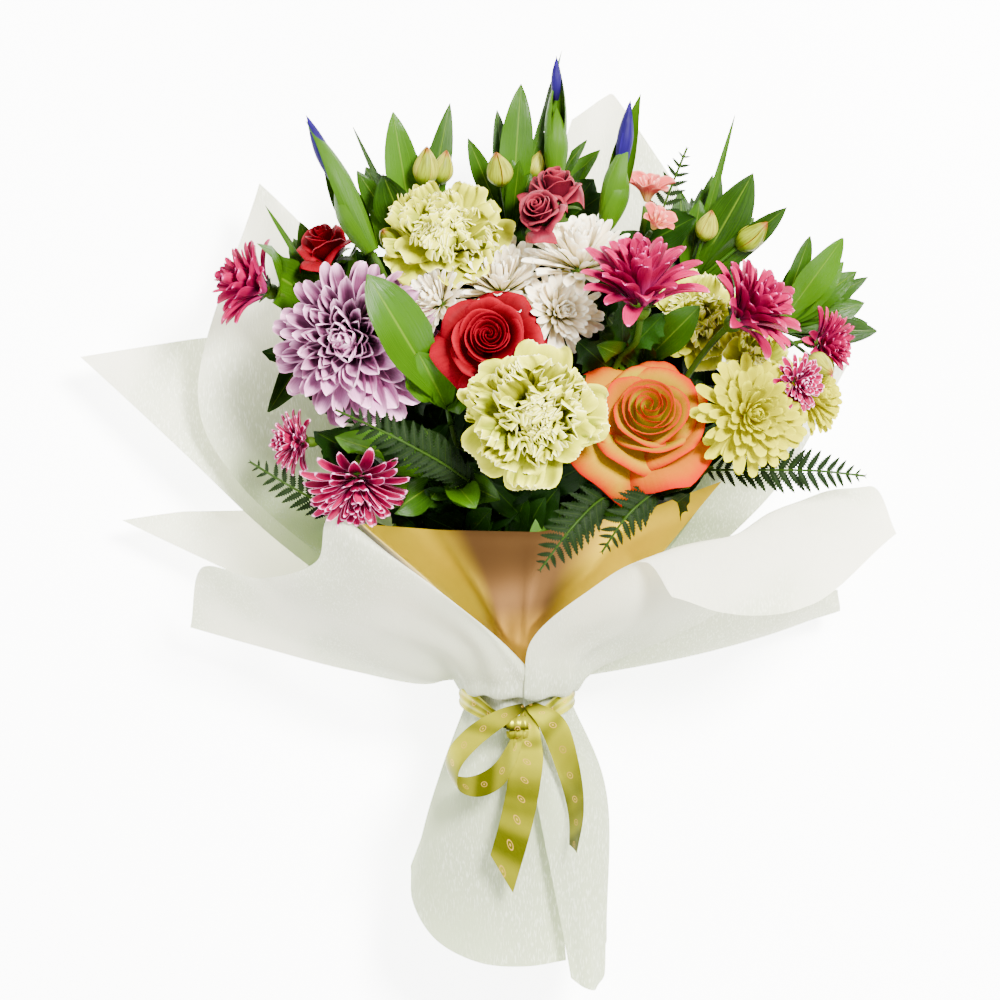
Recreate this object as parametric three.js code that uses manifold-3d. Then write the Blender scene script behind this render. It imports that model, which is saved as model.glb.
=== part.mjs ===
// A hand-tied mixed bouquet in a paper wrap, lying on its back. +X is right and +Y is up the stems as
// the bouquet is looked at, and +Z is up, away from the surface that it lies on. Millimetres.
import * as THREE from "three";
import { mergeVertices } from "three/addons/utils/BufferGeometryUtils.js";
import Module from "manifold-3d";

const wasm = await Module();
wasm.setup();

// The front view: a place is given as [across, down, height]. Across and down are read in a
// 1000 x 1000 view from EYE_HEIGHT over the bouquet's middle, and height is in millimetres.
const EYE_HEIGHT = 2000;
const VIEW_SCALE = 3259;
const VIEW_MIDDLE = 500;
// The middle of the bouquet's footprint, which becomes the origin.
const FOOTPRINT_MIDDLE = new THREE.Vector3(-11.48, -9.545, 0);

// Driving dimensions
const PAPER = 1.0;
const BLADE = 1.2;
const RIBBON = 0.9;
const RIBBON_WIDTH = 19;
const GAP = 0.35;
const TIE = [517, 690, 62];
const STRING_RING = 19.6;
const STRING_RADIUS = 0.9;
const STEM_RADIUS = 2.2;
const FINE_SMOOTHING = 0.05;
const SMOOTHING = 0.2;
const CALYX_LENGTH = 9;
const FOOT = 0.4;
const TIE_HALF = 7;
const AXIS_TILT = 0.24;

const v3 = (x, y, z) => new THREE.Vector3(x, y, z);
const UP = v3(0, 0, 1);
const ALONG = v3(0, 1, 0);

function spot([across, down, height]) {
  const scale = (EYE_HEIGHT - height) / VIEW_SCALE;
  return v3((across - VIEW_MIDDLE) * scale, (VIEW_MIDDLE - down) * scale, height).sub(FOOTPRINT_MIDDLE);
}

// Closed meshes

function solid(points, faces) {
  let volume = 0;
  for (const [a, b, c] of faces) volume += points[a].dot(v3().crossVectors(points[b], points[c]));
  const outward = volume < 0 ? faces.map(([a, b, c]) => [a, c, b]) : faces;
  const vertProperties = new Float32Array(points.flatMap((p) => [p.x, p.y, p.z]));
  const triVerts = new Uint32Array(outward.flat());
  return new wasm.Manifold(new wasm.Mesh({ numProp: 3, vertProperties, triVerts }));
}

// Joins solids, fills what fusing seals and drops loose scraps.
function fused(solids, smoothing = FINE_SMOOTHING) {
  const bodies = wasm.Manifold.union(solids).simplify(smoothing).decompose();
  return bodies.reduce((best, body) => (body.volume() > best.volume() ? body : best));
}

// A thin blade whose two faces meet at its rim. The first and last rows may be single points.
function blade(rows, thick) {
  const points = [];
  const last = rows.length - 1;
  const places = rows.map((row, i) =>
    row.map((p, j) => {
      const inner = i > 0 && i < last && j > 0 && j < row.length - 1;
      if (!inner) return [points.push(p.clone()) - 1].flatMap((n) => [n, n]);
      const from = rows[i - 1][Math.min(j, rows[i - 1].length - 1)];
      const to = rows[i + 1][Math.min(j, rows[i + 1].length - 1)];
      const along = v3().subVectors(to, from);
      const across = v3().subVectors(row[j + 1], row[j - 1]);
      const normal = v3().crossVectors(across, along).setLength(thick / 2);
      return [points.push(p.clone().add(normal)) - 1, points.push(p.clone().sub(normal)) - 1];
    }),
  );
  const faces = [];
  const bothFaces = (a, b, c) => faces.push([a[0], b[0], c[0]], [a[1], c[1], b[1]]);
  const isInner = (place) => place[0] !== place[1];
  for (let i = 0; i < last; i++) {
    const [low, high] = [places[i], places[i + 1]];
    const cells = Math.max(low.length, high.length) - 1;
    for (let j = 0; j < cells; j++) {
      if (low.length === 1) bothFaces(low[0], high[j + 1], high[j]);
      else if (high.length === 1) bothFaces(low[j], low[j + 1], high[0]);
      else if (isInner(low[j]) || isInner(high[j + 1])) {
        bothFaces(low[j], low[j + 1], high[j + 1]);
        bothFaces(low[j], high[j + 1], high[j]);
      } else {
        bothFaces(low[j], low[j + 1], high[j]);
        bothFaces(low[j + 1], high[j + 1], high[j]);
      }
    }
  }
  return solid(points, faces);
}

// A sheet of even thickness over a net of points.
function sheet(net, thick) {
  const [rows, columns] = [net.length, net[0].length];
  const points = [];
  const near = (i, j) => net[Math.min(Math.max(i, 0), rows - 1)][Math.min(Math.max(j, 0), columns - 1)];
  for (let i = 0; i < rows; i++) {
    for (let j = 0; j < columns; j++) {
      const along = v3().subVectors(near(i + 1, j), near(i - 1, j));
      const across = v3().subVectors(near(i, j + 1), near(i, j - 1));
      const half = v3().crossVectors(across, along).setLength(thick / 2);
      points.push(net[i][j].clone().add(half), net[i][j].clone().sub(half));
    }
  }
  const place = (i, j, face) => (i * columns + j) * 2 + face;
  const faces = [];
  const wall = (b, a) => faces.push([a, b, b + 1], [a, b + 1, a + 1]);
  for (let i = 0; i < rows - 1; i++) {
    for (let j = 0; j < columns - 1; j++) {
      const [a, b, c, d] = [place(i, j, 0), place(i, j + 1, 0), place(i + 1, j + 1, 0), place(i + 1, j, 0)];
      faces.push([a, b, c], [a, c, d], [a + 1, c + 1, b + 1], [a + 1, d + 1, c + 1]);
    }
    wall(place(i + 1, 0, 0), place(i, 0, 0));
    wall(place(i, columns - 1, 0), place(i + 1, columns - 1, 0));
  }
  for (let j = 0; j < columns - 1; j++) {
    wall(place(0, j, 0), place(0, j + 1, 0));
    wall(place(rows - 1, j + 1, 0), place(rows - 1, j, 0));
  }
  return solid(points, faces.map(([a, b, c]) => [a, c, b]));
}

// Points on one smooth curve through the places given.
function through(points, count) {
  const curve = new THREE.CatmullRomCurve3(points);
  return Array.from({ length: count }, (_, k) => curve.getPoint(k / (count - 1)));
}

// A round stalk along points, with a radius at each.
function stalk(path, radii, sides) {
  const points = [];
  let side = null;
  path.forEach((p, i) => {
    const [before, after] = [path[Math.max(i - 1, 0)], path[Math.min(i + 1, path.length - 1)]];
    const along = v3().subVectors(after, before).normalize();
    side = side ?? v3().crossVectors(along, Math.abs(along.z) > 0.9 ? ALONG : UP);
    side = side.clone().addScaledVector(along, -side.dot(along)).normalize();
    const other = v3().crossVectors(along, side);
    for (let k = 0; k < sides; k++) {
      const angle = (2 * Math.PI * k) / sides;
      const [c, d] = [radii[i] * Math.cos(angle), radii[i] * Math.sin(angle)];
      points.push(p.clone().addScaledVector(side, c).addScaledVector(other, d));
    }
  });
  const faces = [];
  for (let i = 0; i < path.length - 1; i++) {
    for (let k = 0; k < sides; k++) {
      const [a, b] = [i * sides + k, i * sides + ((k + 1) % sides)];
      faces.push([a, b, b + sides], [a, b + sides, a + sides]);
    }
  }
  const top = (path.length - 1) * sides;
  for (let k = 1; k < sides - 1; k++) faces.push([0, k + 1, k], [top, top + k, top + k + 1]);
  return solid(points, faces);
}

// A turned shape from [radius, height] pairs, which starts and ends on the axis.
function turned(profile, sides) {
  const points = [];
  const rings = profile.map(([radius, height]) => {
    const count = radius === 0 ? 1 : sides;
    return Array.from({ length: count }, (_, k) => {
      const angle = (2 * Math.PI * k) / sides;
      return points.push(v3(radius * Math.cos(angle), radius * Math.sin(angle), height)) - 1;
    });
  });
  const faces = [];
  for (let i = 0; i < rings.length - 1; i++) {
    const [low, high] = [rings[i], rings[i + 1]];
    for (let k = 0; k < sides; k++) {
      const next = (k + 1) % sides;
      if (high.length > 1) faces.push([low[low.length > 1 ? k : 0], high[next], high[k]]);
      if (low.length > 1) faces.push([low[k], low[next], high[high.length > 1 ? next : 0]]);
    }
  }
  return solid(points, faces);
}

// Petals. A bloom is made round its own +Z axis with its receptacle at the origin. A petal's rows are
// [distance from axis, height, half width], root first, and wrap bends them round the axis.

function petal(turn, rows, { columns = 3, wrap = 0, cup = 0, ruffle = 0, thick = BLADE }) {
  const [out, side] = [v3(Math.cos(turn), Math.sin(turn), 0), v3(-Math.sin(turn), Math.cos(turn), 0)];
  const points = rows.map(([reach, height, half], i) => {
    if (half === 0) return [out.clone().multiplyScalar(reach).setZ(height)];
    return Array.from({ length: columns }, (_, j) => {
      const c = (2 * j) / (columns - 1) - 1;
      const wave = i === rows.length - 1 || i === rows.length - 2 ? ruffle * (j % 2 ? 1 : -1) : 0;
      const bend = wrap * Math.min((c * half) / Math.max(reach, half * 0.7), 1.4);
      const p = out.clone().multiplyScalar(reach * Math.cos(bend) + wave);
      p.addScaledVector(side, wrap ? reach * Math.sin(bend) : c * half);
      return p.setZ(height + cup * c * c * half - Math.abs(wave) * 0.4);
    });
  });
  return blade(points, thick);
}

function whorl(count, phase, make) {
  return Array.from({ length: count }, (_, k) => make((2 * Math.PI * (k + phase)) / count, k));
}

// Rows and profiles are shares of a bloom's radius R and depth H.
const rowsOf = (rows, R, H) => rows.map(([reach, height, half]) => [reach * R, height * H, half * R]);

// The middle of a bloom: a turned heart on a flat foot, just above the receptacle.
function heartOf(profile, R, H, sides) {
  const [[foot], ...rest] = profile;
  return turned([[0, FOOT], [foot * R, FOOT], ...rest.map(([wide, tall]) => [wide * R, tall * H])], sides);
}

// A rose: a closed heart with cupped petals round it, the outer ones rolled back.
function rose({ radius: R, deep: H }) {
  const heart = heartOf([[0.3], [0.38, 0.45], [0.27, 0.86], [0, 0.93]], R, H, 6);
  const ring = (count, phase, rows) =>
    whorl(count, phase, (turn) => petal(turn, rowsOf(rows, R, H), { columns: 4, wrap: 1 }));
  return fused([
    heart,
    ...ring(3, 0.1, [[0.3, 0.3, 0], [0.46, 0.62, 0.44], [0.44, 1.0, 0.3]]),
    ...ring(4, 0.4, [[0.3, 0.2, 0], [0.66, 0.46, 0.5], [0.7, 0.86, 0.3]]),
    ...ring(5, 0, [[0.28, 0.08, 0], [0.82, 0.3, 0.5], [1.0, 0.58, 0.28]]),
  ], SMOOTHING);
}

// A carnation: rings of fan-shaped petals with waved edges round a crowded middle.
function carnation({ radius: R, deep: H, crowded = false }) {
  const middle = heartOf([[0.3], [0.52, 0.5], [0.42, 0.8], [0, 0.88]], R, H, 6);
  const columns = crowded ? 4 : 3;
  const ring = (count, phase, rows, ruffle) =>
    whorl(count, phase, (turn) => petal(turn, rowsOf(rows, R, H), { columns, ruffle: ruffle * R }));
  return fused([
    middle,
    ...ring(3, 0.2, [[0.2, 0.5, 0], [0.36, 0.84, 0.3], [0.3, 1.04, 0.3]], 0.08),
    ...ring(4, 0.5, [[0.3, 0.3, 0], [0.6, 0.66, 0.4], [0.72, 0.84, 0.46]], 0.07),
    ...ring(crowded ? 6 : 5, 0, [[0.3, 0.15, 0], [0.74, 0.3, 0.4], [1.0, 0.42, 0.46]], 0.06),
  ], SMOOTHING);
}

// A chrysanthemum: strap petals in rings, each ring with its own lean away from the bloom's axis.
function chrysanthemum({ radius: R, deep: H }, rings) {
  const button = heartOf([[0.24], [0.24, 0.4], [0, 0.66]], R, H, 6);
  const petals = rings.flatMap(({ count, phase, reach, rise, root = 0.15, width, curl = 0.1 }) =>
    whorl(count, phase, (turn) =>
      petal(turn, [
        [0.1 * R, root * H, 0],
        [0.66 * reach * R, (root + 0.62 * (rise - root) - curl) * H, width * R],
        [reach * R, rise * H, 0],
      ], { cup: 0.35 }),
    ),
  );
  return fused([button, ...petals], SMOOTHING);
}

const OPEN_RINGS = [
  { count: 9, phase: 0, reach: 1, rise: 0.3, width: 0.2 },
  { count: 6, phase: 0.5, reach: 0.76, rise: 0.68, root: 0.3, width: 0.21 },
  { count: 3, phase: 0.2, reach: 0.4, rise: 0.96, root: 0.4, width: 0.17 },
];
const UPRIGHT_RINGS = [
  { count: 7, phase: 0, reach: 1, rise: 0.6, width: 0.21, curl: 0.16 },
  { count: 5, phase: 0.5, reach: 0.7, rise: 1, width: 0.2, curl: 0.12 },
  { count: 2, phase: 0.2, reach: 0.3, rise: 0.86, root: 0.3, width: 0.16 },
];
const SMALL_RINGS = [
  { count: 7, phase: 0, reach: 1, rise: 0.45, width: 0.24 },
  { count: 4, phase: 0.5, reach: 0.66, rise: 0.92, root: 0.3, width: 0.26 },
];
const FULL_RINGS = [
  { count: 12, phase: 0, reach: 1, rise: 0.1, root: 0.1, width: 0.155 },
  { count: 11, phase: 0.5, reach: 0.84, rise: 0.46, root: 0.2, width: 0.135 },
  { count: 8, phase: 0, reach: 0.62, rise: 0.74, root: 0.35, width: 0.135 },
  { count: 5, phase: 0.5, reach: 0.38, rise: 0.92, root: 0.45, width: 0.12 },
];
const openDaisy = (bloom) => chrysanthemum(bloom, OPEN_RINGS);
const uprightDaisy = (bloom) => chrysanthemum(bloom, UPRIGHT_RINGS);
const smallDaisy = (bloom) => chrysanthemum(bloom, SMALL_RINGS);
const fullMum = (bloom) => chrysanthemum(bloom, FULL_RINGS);

// A small spray rose: fewer and narrower petals than a florist's rose.
function sprayRose({ radius: R, deep: H }) {
  const heart = heartOf([[0.35], [0.5, 0.5], [0.3, 0.9], [0, 0.96]], R, H, 6);
  const ring = (count, phase, rows) =>
    whorl(count, phase, (turn) => petal(turn, rowsOf(rows, R, H), { wrap: 1 }));
  return fused([
    heart,
    ...ring(3, 0.4, [[0.34, 0.2, 0], [0.72, 0.55, 0.56], [0.66, 0.98, 0.34]]),
    ...ring(4, 0, [[0.34, 0.1, 0], [0.86, 0.4, 0.56], [1.0, 0.7, 0.3]]),
  ]);
}

// A lily-shaped flower of six narrow petals.
function lily({ radius: R, deep: H }) {
  const throat = heartOf([[0.12], [0.3, 0.5], [0, 0.6]], R, H, 5);
  const ring = (phase, reach) => {
    const rows = rowsOf([[0.08, 0.15, 0], [0.62 * reach, 0.66, 0.3], [reach, 1, 0]], R, H);
    return whorl(3, phase, (turn) => petal(turn, rows, { cup: 0.3 }));
  };
  return fused([throat, ...ring(0, 1), ...ring(0.5, 0.9)]);
}

// An iris still closed: three petals rolled round each other to a point.
function irisFlower({ radius: R, deep: H }) {
  const core = heartOf([[0.4], [0.75, 0.4], [0, 1]], R, H, 5);
  const rows = rowsOf([[0.3, 0.05, 0], [0.95, 0.42, 0.7], [0.4, 0.98, 0]], R, H);
  const rolled = whorl(3, 0, (turn) => petal(turn, rows, { wrap: 1 }));
  return fused([core, ...rolled]);
}

// An iris sheath: two green leaves wrapped round the stalk below the flower.
function irisSheath({ radius: R, deep: H }) {
  const core = heartOf([[0.3], [0.85, 0.4], [0.6, 0.98], [0, 1]], R, H, 5);
  const leaves = whorl(2, 0.25, (turn, k) => {
    const rows = [[0.25, 0.06, 0], [0.95, 0.4, 0.8], [0.85, k ? 0.8 : 0.97, 0]];
    return petal(turn, rowsOf(rows, R, H), { wrap: 1 });
  });
  return fused([core, ...leaves]);
}

// The blooms: the radius and depth of each, its middle as seen, and the way that it faces.
const BLOOM_LIST = [
  { name: "rose_orange", make: rose, radius: 38, deep: 40,
    middle: [648, 418, 152], face: [0.05, 0.2, 1] },
  { name: "rose_red", make: rose, radius: 29, deep: 34,
    middle: [489, 340, 154], face: [0, 0.15, 1] },
  { name: "rose_red_back", make: sprayRose, radius: 18, deep: 24,
    middle: [325, 243, 92], face: [-0.3, 0.8, 0.45] },
  { name: "rose_coral_back", make: sprayRose, radius: 18, deep: 26,
    middle: [555, 188, 106], face: [0, 0.9, 0.4] },
  { name: "rose_coral_front", make: sprayRose, radius: 16, deep: 20,
    middle: [540, 211, 146], face: [-0.35, 0.5, 0.75] },
  { name: "carnation_front", make: carnation, radius: 36, deep: 30, crowded: true,
    middle: [534, 416, 180], face: [-0.05, 0.05, 1] },
  { name: "carnation_back", make: carnation, radius: 33, deep: 30,
    middle: [447, 236, 118], face: [-0.1, 0.75, 0.65] },
  { name: "carnation_right", make: carnation, radius: 27, deep: 26,
    middle: [698, 318, 108], face: [0.3, 0.3, 0.9] },
  { name: "carnation_lower_right", make: carnation, radius: 21, deep: 22,
    middle: [754, 364, 130], face: [0.3, 0.2, 0.9] },
  { name: "chrysanthemum_lavender", make: fullMum, radius: 44, deep: 34,
    middle: [350, 341, 128], face: [-0.2, -0.05, 1] },
  { name: "chrysanthemum_white_top", make: uprightDaisy, radius: 30, deep: 26,
    middle: [580, 254, 130], face: [0, 0.8, 0.6] },
  { name: "chrysanthemum_white_middle", make: openDaisy, radius: 28, deep: 22,
    middle: [500, 282, 126], face: [-0.1, 0.6, 0.8] },
  { name: "chrysanthemum_white_right", make: openDaisy, radius: 26, deep: 20,
    middle: [564, 316, 140], face: [0.3, 0.1, 0.9] },
  { name: "chrysanthemum_white_left", make: smallDaisy, radius: 20, deep: 18,
    middle: [433, 300, 134], face: [-0.6, 0.3, 0.7] },
  { name: "chrysanthemum_magenta_middle", make: uprightDaisy, radius: 33, deep: 30,
    middle: [641, 284, 182], face: [0, 0.85, 0.5] },
  { name: "chrysanthemum_magenta_right", make: uprightDaisy, radius: 28, deep: 28,
    middle: [753, 308, 164], face: [0.65, 0.5, 0.55] },
  { name: "chrysanthemum_magenta_left", make: uprightDaisy, radius: 25, deep: 26,
    middle: [248, 283, 98], face: [-0.85, 0.3, 0.4] },
  { name: "chrysanthemum_magenta_low", make: openDaisy, radius: 27, deep: 24,
    middle: [357, 488, 150], face: [0, -0.75, 0.65] },
  { name: "chrysanthemum_magenta_low_left", make: smallDaisy, radius: 17, deep: 18,
    middle: [292, 442, 112], face: [-0.9, 0, 0.4] },
  { name: "chrysanthemum_magenta_far_right", make: smallDaisy, radius: 19, deep: 18,
    middle: [829, 344, 106], face: [0.8, -0.1, 0.5] },
  { name: "chrysanthemum_magenta_low_right", make: smallDaisy, radius: 15, deep: 14,
    middle: [799, 382, 156], face: [0.5, -0.1, 0.85] },
  { name: "chrysanthemum_yellow_front", make: openDaisy, radius: 28, deep: 22,
    middle: [752, 415, 160], face: [0.25, 0, 0.95] },
  { name: "chrysanthemum_yellow_back", make: smallDaisy, radius: 19, deep: 16,
    middle: [815, 396, 112], face: [0.7, 0.2, 0.6] },
  { name: "alstroemeria_pink", make: lily, radius: 16, deep: 18,
    middle: [648, 190, 108], face: [0.1, 0.9, 0.4] },
  { name: "alstroemeria_pale", make: lily, radius: 12, deep: 14,
    middle: [657, 222, 124], face: [0.4, 0.6, 0.6] },
  { name: "iris_sheath_left", make: irisSheath, radius: 10, deep: 56,
    middle: [350, 208, 124], face: [-0.45, 0.88, 0.05] },
  { name: "iris_sheath_middle", make: irisSheath, radius: 7.5, deep: 64,
    middle: [556, 128, 87], face: [0, 1, 0.1] },
  { name: "iris_sheath_right", make: irisSheath, radius: 9, deep: 48,
    middle: [616, 188, 118], face: [0.25, 0.95, 0.15] },
  { name: "iris_flower_left", make: irisFlower, radius: 5.5, deep: 34,
    sheath: "iris_sheath_left", face: [-0.3, 0.95, 0.05] },
  { name: "iris_flower_middle", make: irisFlower, radius: 3.2, deep: 12,
    sheath: "iris_sheath_middle", face: [0, 1, 0.1] },
  { name: "iris_flower_right", make: irisFlower, radius: 5.5, deep: 30,
    sheath: "iris_sheath_right", face: [0.18, 0.97, 0.12] },
];

// A flower in a sheath stands at the sheath's tip. Every other bloom is placed by its middle.
const BLOOMS = [];
for (const bloom of BLOOM_LIST) {
  const facing = v3(...bloom.face).normalize();
  const sheath = BLOOMS.find(({ name }) => name === bloom.sheath);
  const base = sheath
    ? sheath.base.clone().addScaledVector(sheath.facing, sheath.deep)
    : spot(bloom.middle).addScaledVector(facing, -bloom.deep / 2);
  const centre = base.clone().addScaledVector(facing, bloom.deep / 2);
  BLOOMS.push({ ...bloom, facing, base, centre });
}

// A frame that turns a bloom's own +Z to the way that it faces.
function standing(base, facing) {
  const side = v3().crossVectors(ALONG, facing).normalize();
  return new THREE.Matrix4().makeBasis(side, v3().crossVectors(facing, side), facing).setPosition(base);
}

for (const bloom of BLOOMS) {
  bloom.solid = bloom.make(bloom).transform(standing(bloom.base, bloom.facing).toArray());
}

// Pushes a point out of every bloom's space, so that leaves and stems bend clear of the petals.
function bentClear(point, margin, except) {
  const p = point.clone();
  for (let pass = 0; pass < 3; pass++) {
    for (const bloom of BLOOMS) {
      if (bloom === except) continue;
      const away = v3().subVectors(p, bloom.centre);
      const deep = away.dot(bloom.facing);
      const wide = away.clone().addScaledVector(bloom.facing, -deep).length();
      const share = Math.hypot(deep / (bloom.deep * 0.62 + margin), wide / (bloom.radius + margin));
      if (share < 1) p.copy(bloom.centre).addScaledVector(away, 1 / Math.max(share, 0.15));
    }
  }
  return p;
}

// The tie: everything is gathered into rings about an axis that rises a little towards the blooms.
const tieMiddle = spot(TIE);
const tieAxis = v3(0, Math.cos(AXIS_TILT), Math.sin(AXIS_TILT));
const tieFront = v3(0, -Math.sin(AXIS_TILT), Math.cos(AXIS_TILT));

function tiePoint(degrees, radius, along) {
  const angle = (degrees * Math.PI) / 180;
  return tieMiddle
    .clone()
    .add(v3(radius * Math.cos(angle), 0, 0))
    .addScaledVector(tieFront, radius * Math.sin(angle))
    .addScaledVector(tieAxis, along);
}

// Stems: each leaves its bloom's calyx, bends clear of the other blooms, passes the tie in its own
// place and spreads again below it.
const STEM_SIDES = 3;
const STEM_SPACING = 4.5;
const STEMS_ACROSS = 14.8;
const STEMS_BELOW = 138;
const CORE_RADIUS = 16;
const CORE_HALF = 4;
const STEM_SPREAD = 1.6;
const STEM_FAN = 0.04;
const STEM_DIP = 0.12;
const STEM_CLEARANCE = 0.6;
const LEAF_CLEARANCE = 1.6;
const TAIL_LIFT = 18;
const SETTLING_STEPS = 80;

// Where each stem passes the tie: in the order of the heads above it, and settled side by side.
function tiePlaces(heads) {
  const places = heads.map((head) => {
    const offset = v3().subVectors(head, tieMiddle);
    return new THREE.Vector2(offset.x * 0.09, offset.dot(tieFront) * 0.14 - 6);
  });
  for (let step = 0; step < SETTLING_STEPS; step++) {
    for (const a of places) {
      for (const b of places) {
        const apart = a.distanceTo(b);
        if (a === b || apart >= STEM_SPACING) continue;
        const push = a.clone().sub(b).setLength((STEM_SPACING - apart) * 0.4);
        a.add(push);
        b.sub(push);
      }
      a.clampLength(0, STEMS_ACROSS);
    }
  }
  return places;
}

function stemAt(place, along, spread = 1) {
  return tieMiddle
    .clone()
    .add(v3(place.x * spread, 0, 0))
    .addScaledVector(tieFront, place.y * spread)
    .addScaledVector(tieAxis, along);
}

function curveBetween(from, leaving, to, arriving, steps, own) {
  const reach = from.distanceTo(to);
  const curve = new THREE.CubicBezierCurve3(
    from,
    from.clone().addScaledVector(leaving, reach * 0.16).addScaledVector(UP, -reach * STEM_DIP),
    to.clone().addScaledVector(arriving, reach * 0.3),
    to,
  );
  const clear = STEM_RADIUS + STEM_CLEARANCE;
  return curve.getPoints(steps).map((p, i) => (i < 1 ? p : bentClear(p, clear, i < 2 ? own : null)));
}

function calyxPath(seat, facing) {
  const top = seat.clone().addScaledVector(facing, -GAP);
  return [top, top.clone().addScaledVector(facing, -CALYX_LENGTH)];
}

function mainStem({ seat, facing, wide, own }, place) {
  const [top, neck] = calyxPath(seat, facing);
  const fan = stemAt(place, TIE_HALF + 1, 1 + STEM_FAN).sub(stemAt(place, TIE_HALF)).normalize();
  const upper = curveBetween(neck, facing.clone().negate(), stemAt(place, TIE_HALF), fan, 4, own);
  const path = [top, ...upper, stemAt(place, 0)];
  return { path, radii: path.map((_, i) => (i === 0 ? wide : STEM_RADIUS)), sides: STEM_SIDES };
}

function branch({ seat, facing, wide, own, from, joint }) {
  const [top, neck] = calyxPath(seat, facing);
  const to = from.path[joint];
  const along = v3().subVectors(neck, to).normalize();
  const path = [top, ...curveBetween(neck, facing.clone().negate(), to, along, 2, own)];
  path[path.length - 1].copy(to);
  return { path, radii: path.map((_, i) => (i === 0 ? wide : STEM_RADIUS * 0.8)), sides: STEM_SIDES };
}

const bloomNamed = (name) => BLOOMS.find((bloom) => bloom.name === name);
const CALYX_SHARE = 0.24;
const seatUnder = (name) => {
  const bloom = bloomNamed(name);
  return { seat: bloom.base, facing: bloom.facing, wide: bloom.radius * CALYX_SHARE, own: bloom };
};

// Blooms on stems of their own, and then those that branch from another bloom's stem.
const ALONE = [
  "rose_orange", "rose_red", "rose_red_back", "rose_coral_back", "carnation_front", "carnation_back",
  "carnation_right", "carnation_lower_right", "chrysanthemum_lavender", "chrysanthemum_white_top",
  "chrysanthemum_white_middle", "chrysanthemum_magenta_middle", "chrysanthemum_magenta_right",
  "chrysanthemum_magenta_left", "chrysanthemum_magenta_low", "chrysanthemum_yellow_front",
  "alstroemeria_pink", "iris_sheath_left", "iris_sheath_middle", "iris_sheath_right",
];
const BRANCHED = [
  ["rose_coral_front", "rose_coral_back", 2],
  ["chrysanthemum_white_right", "chrysanthemum_white_top", 3],
  ["chrysanthemum_white_left", "chrysanthemum_white_middle", 2],
  ["chrysanthemum_magenta_low_left", "chrysanthemum_magenta_low", 3],
  ["chrysanthemum_magenta_far_right", "chrysanthemum_magenta_right", 3],
  ["chrysanthemum_magenta_low_right", "chrysanthemum_magenta_right", 3],
  ["chrysanthemum_yellow_back", "chrysanthemum_yellow_front", 3],
  ["alstroemeria_pale", "alstroemeria_pink", 2],
  ["leaves_centre", "rose_red", 3],
  ["leaves_right_centre", "rose_orange", 3],
  ["leaves_right", "carnation_lower_right", 3],
  ["fern_bottom_right", "fern_bottom", 4],
  ["fern_low_left", "chrysanthemum_magenta_low", 4],
];

// Foliage

// A leaf on a bowed midrib: its width is in millimetres, rise bows it up and roll turns its face.
const BROAD_ROWS = [[0, 0], [0.36, 0.72], [0.62, 1], [0.86, 0.58], [1, 0]];
const NARROW_ROWS = [[0, 0], [0.45, 0.7], [0.72, 1], [1, 0]];
const BROAD = 24;

function leafNet(root, { tip, width, rise = 8, roll = 0 }, grow) {
  const end = spot(tip);
  const middle = root.clone().lerp(end, 0.5).add(v3(0, 0, rise));
  const rib = new THREE.QuadraticBezierCurve3(root, middle, end);
  return (width < BROAD ? NARROW_ROWS : BROAD_ROWS).map(([share, wide]) => {
    const p = rib.getPoint(share);
    if (wide === 0) return [p];
    const along = rib.getTangent(share);
    const side = v3().crossVectors(along, UP).normalize().applyAxisAngle(along, roll);
    const half = (wide * width) / 2 + grow;
    const lift = v3().crossVectors(side, along).setLength(0.12 * half);
    return [-1, 0, 1].map((c) => {
      const q = p.clone().addScaledVector(side, c * half).addScaledVector(lift, c ? 1 : -1);
      return bentClear(q, LEAF_CLEARANCE, null);
    });
  });
}

// The lower end of a leafy spray, where its stem takes over.
function sprayFoot(root) {
  return root.clone().addScaledVector(v3().subVectors(tieMiddle, root).normalize(), 10);
}

function bud(root, { tip, radius = 6 }) {
  const end = spot(tip);
  const along = v3().subVectors(end, root);
  const at = (share) => root.clone().addScaledVector(along, share);
  const full = 2.6 * radius / along.length();
  const shares = [0, 1 - full, 1 - 0.72 * full, 1 - 0.35 * full, 1];
  return stalk(shares.map(at), [1.2, 1.2, radius, 0.85 * radius, 0.6], 5);
}

// A leafy spray: its leaves and buds fan out from the head of one stalk.
function leafySpray({ hub, leaves, buds = [] }, grow = 0) {
  const root = spot(hub);
  const foot = sprayFoot(root);
  return fused([
    stalk([foot, root.clone().lerp(foot, -0.2)], [2 + grow, 2.2 + grow], 4),
    ...leaves.map((leaf) => blade(leafNet(root, leaf, grow), BLADE + 2 * grow)),
    ...buds.map((one) => bud(root, one)),
  ]);
}

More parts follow.
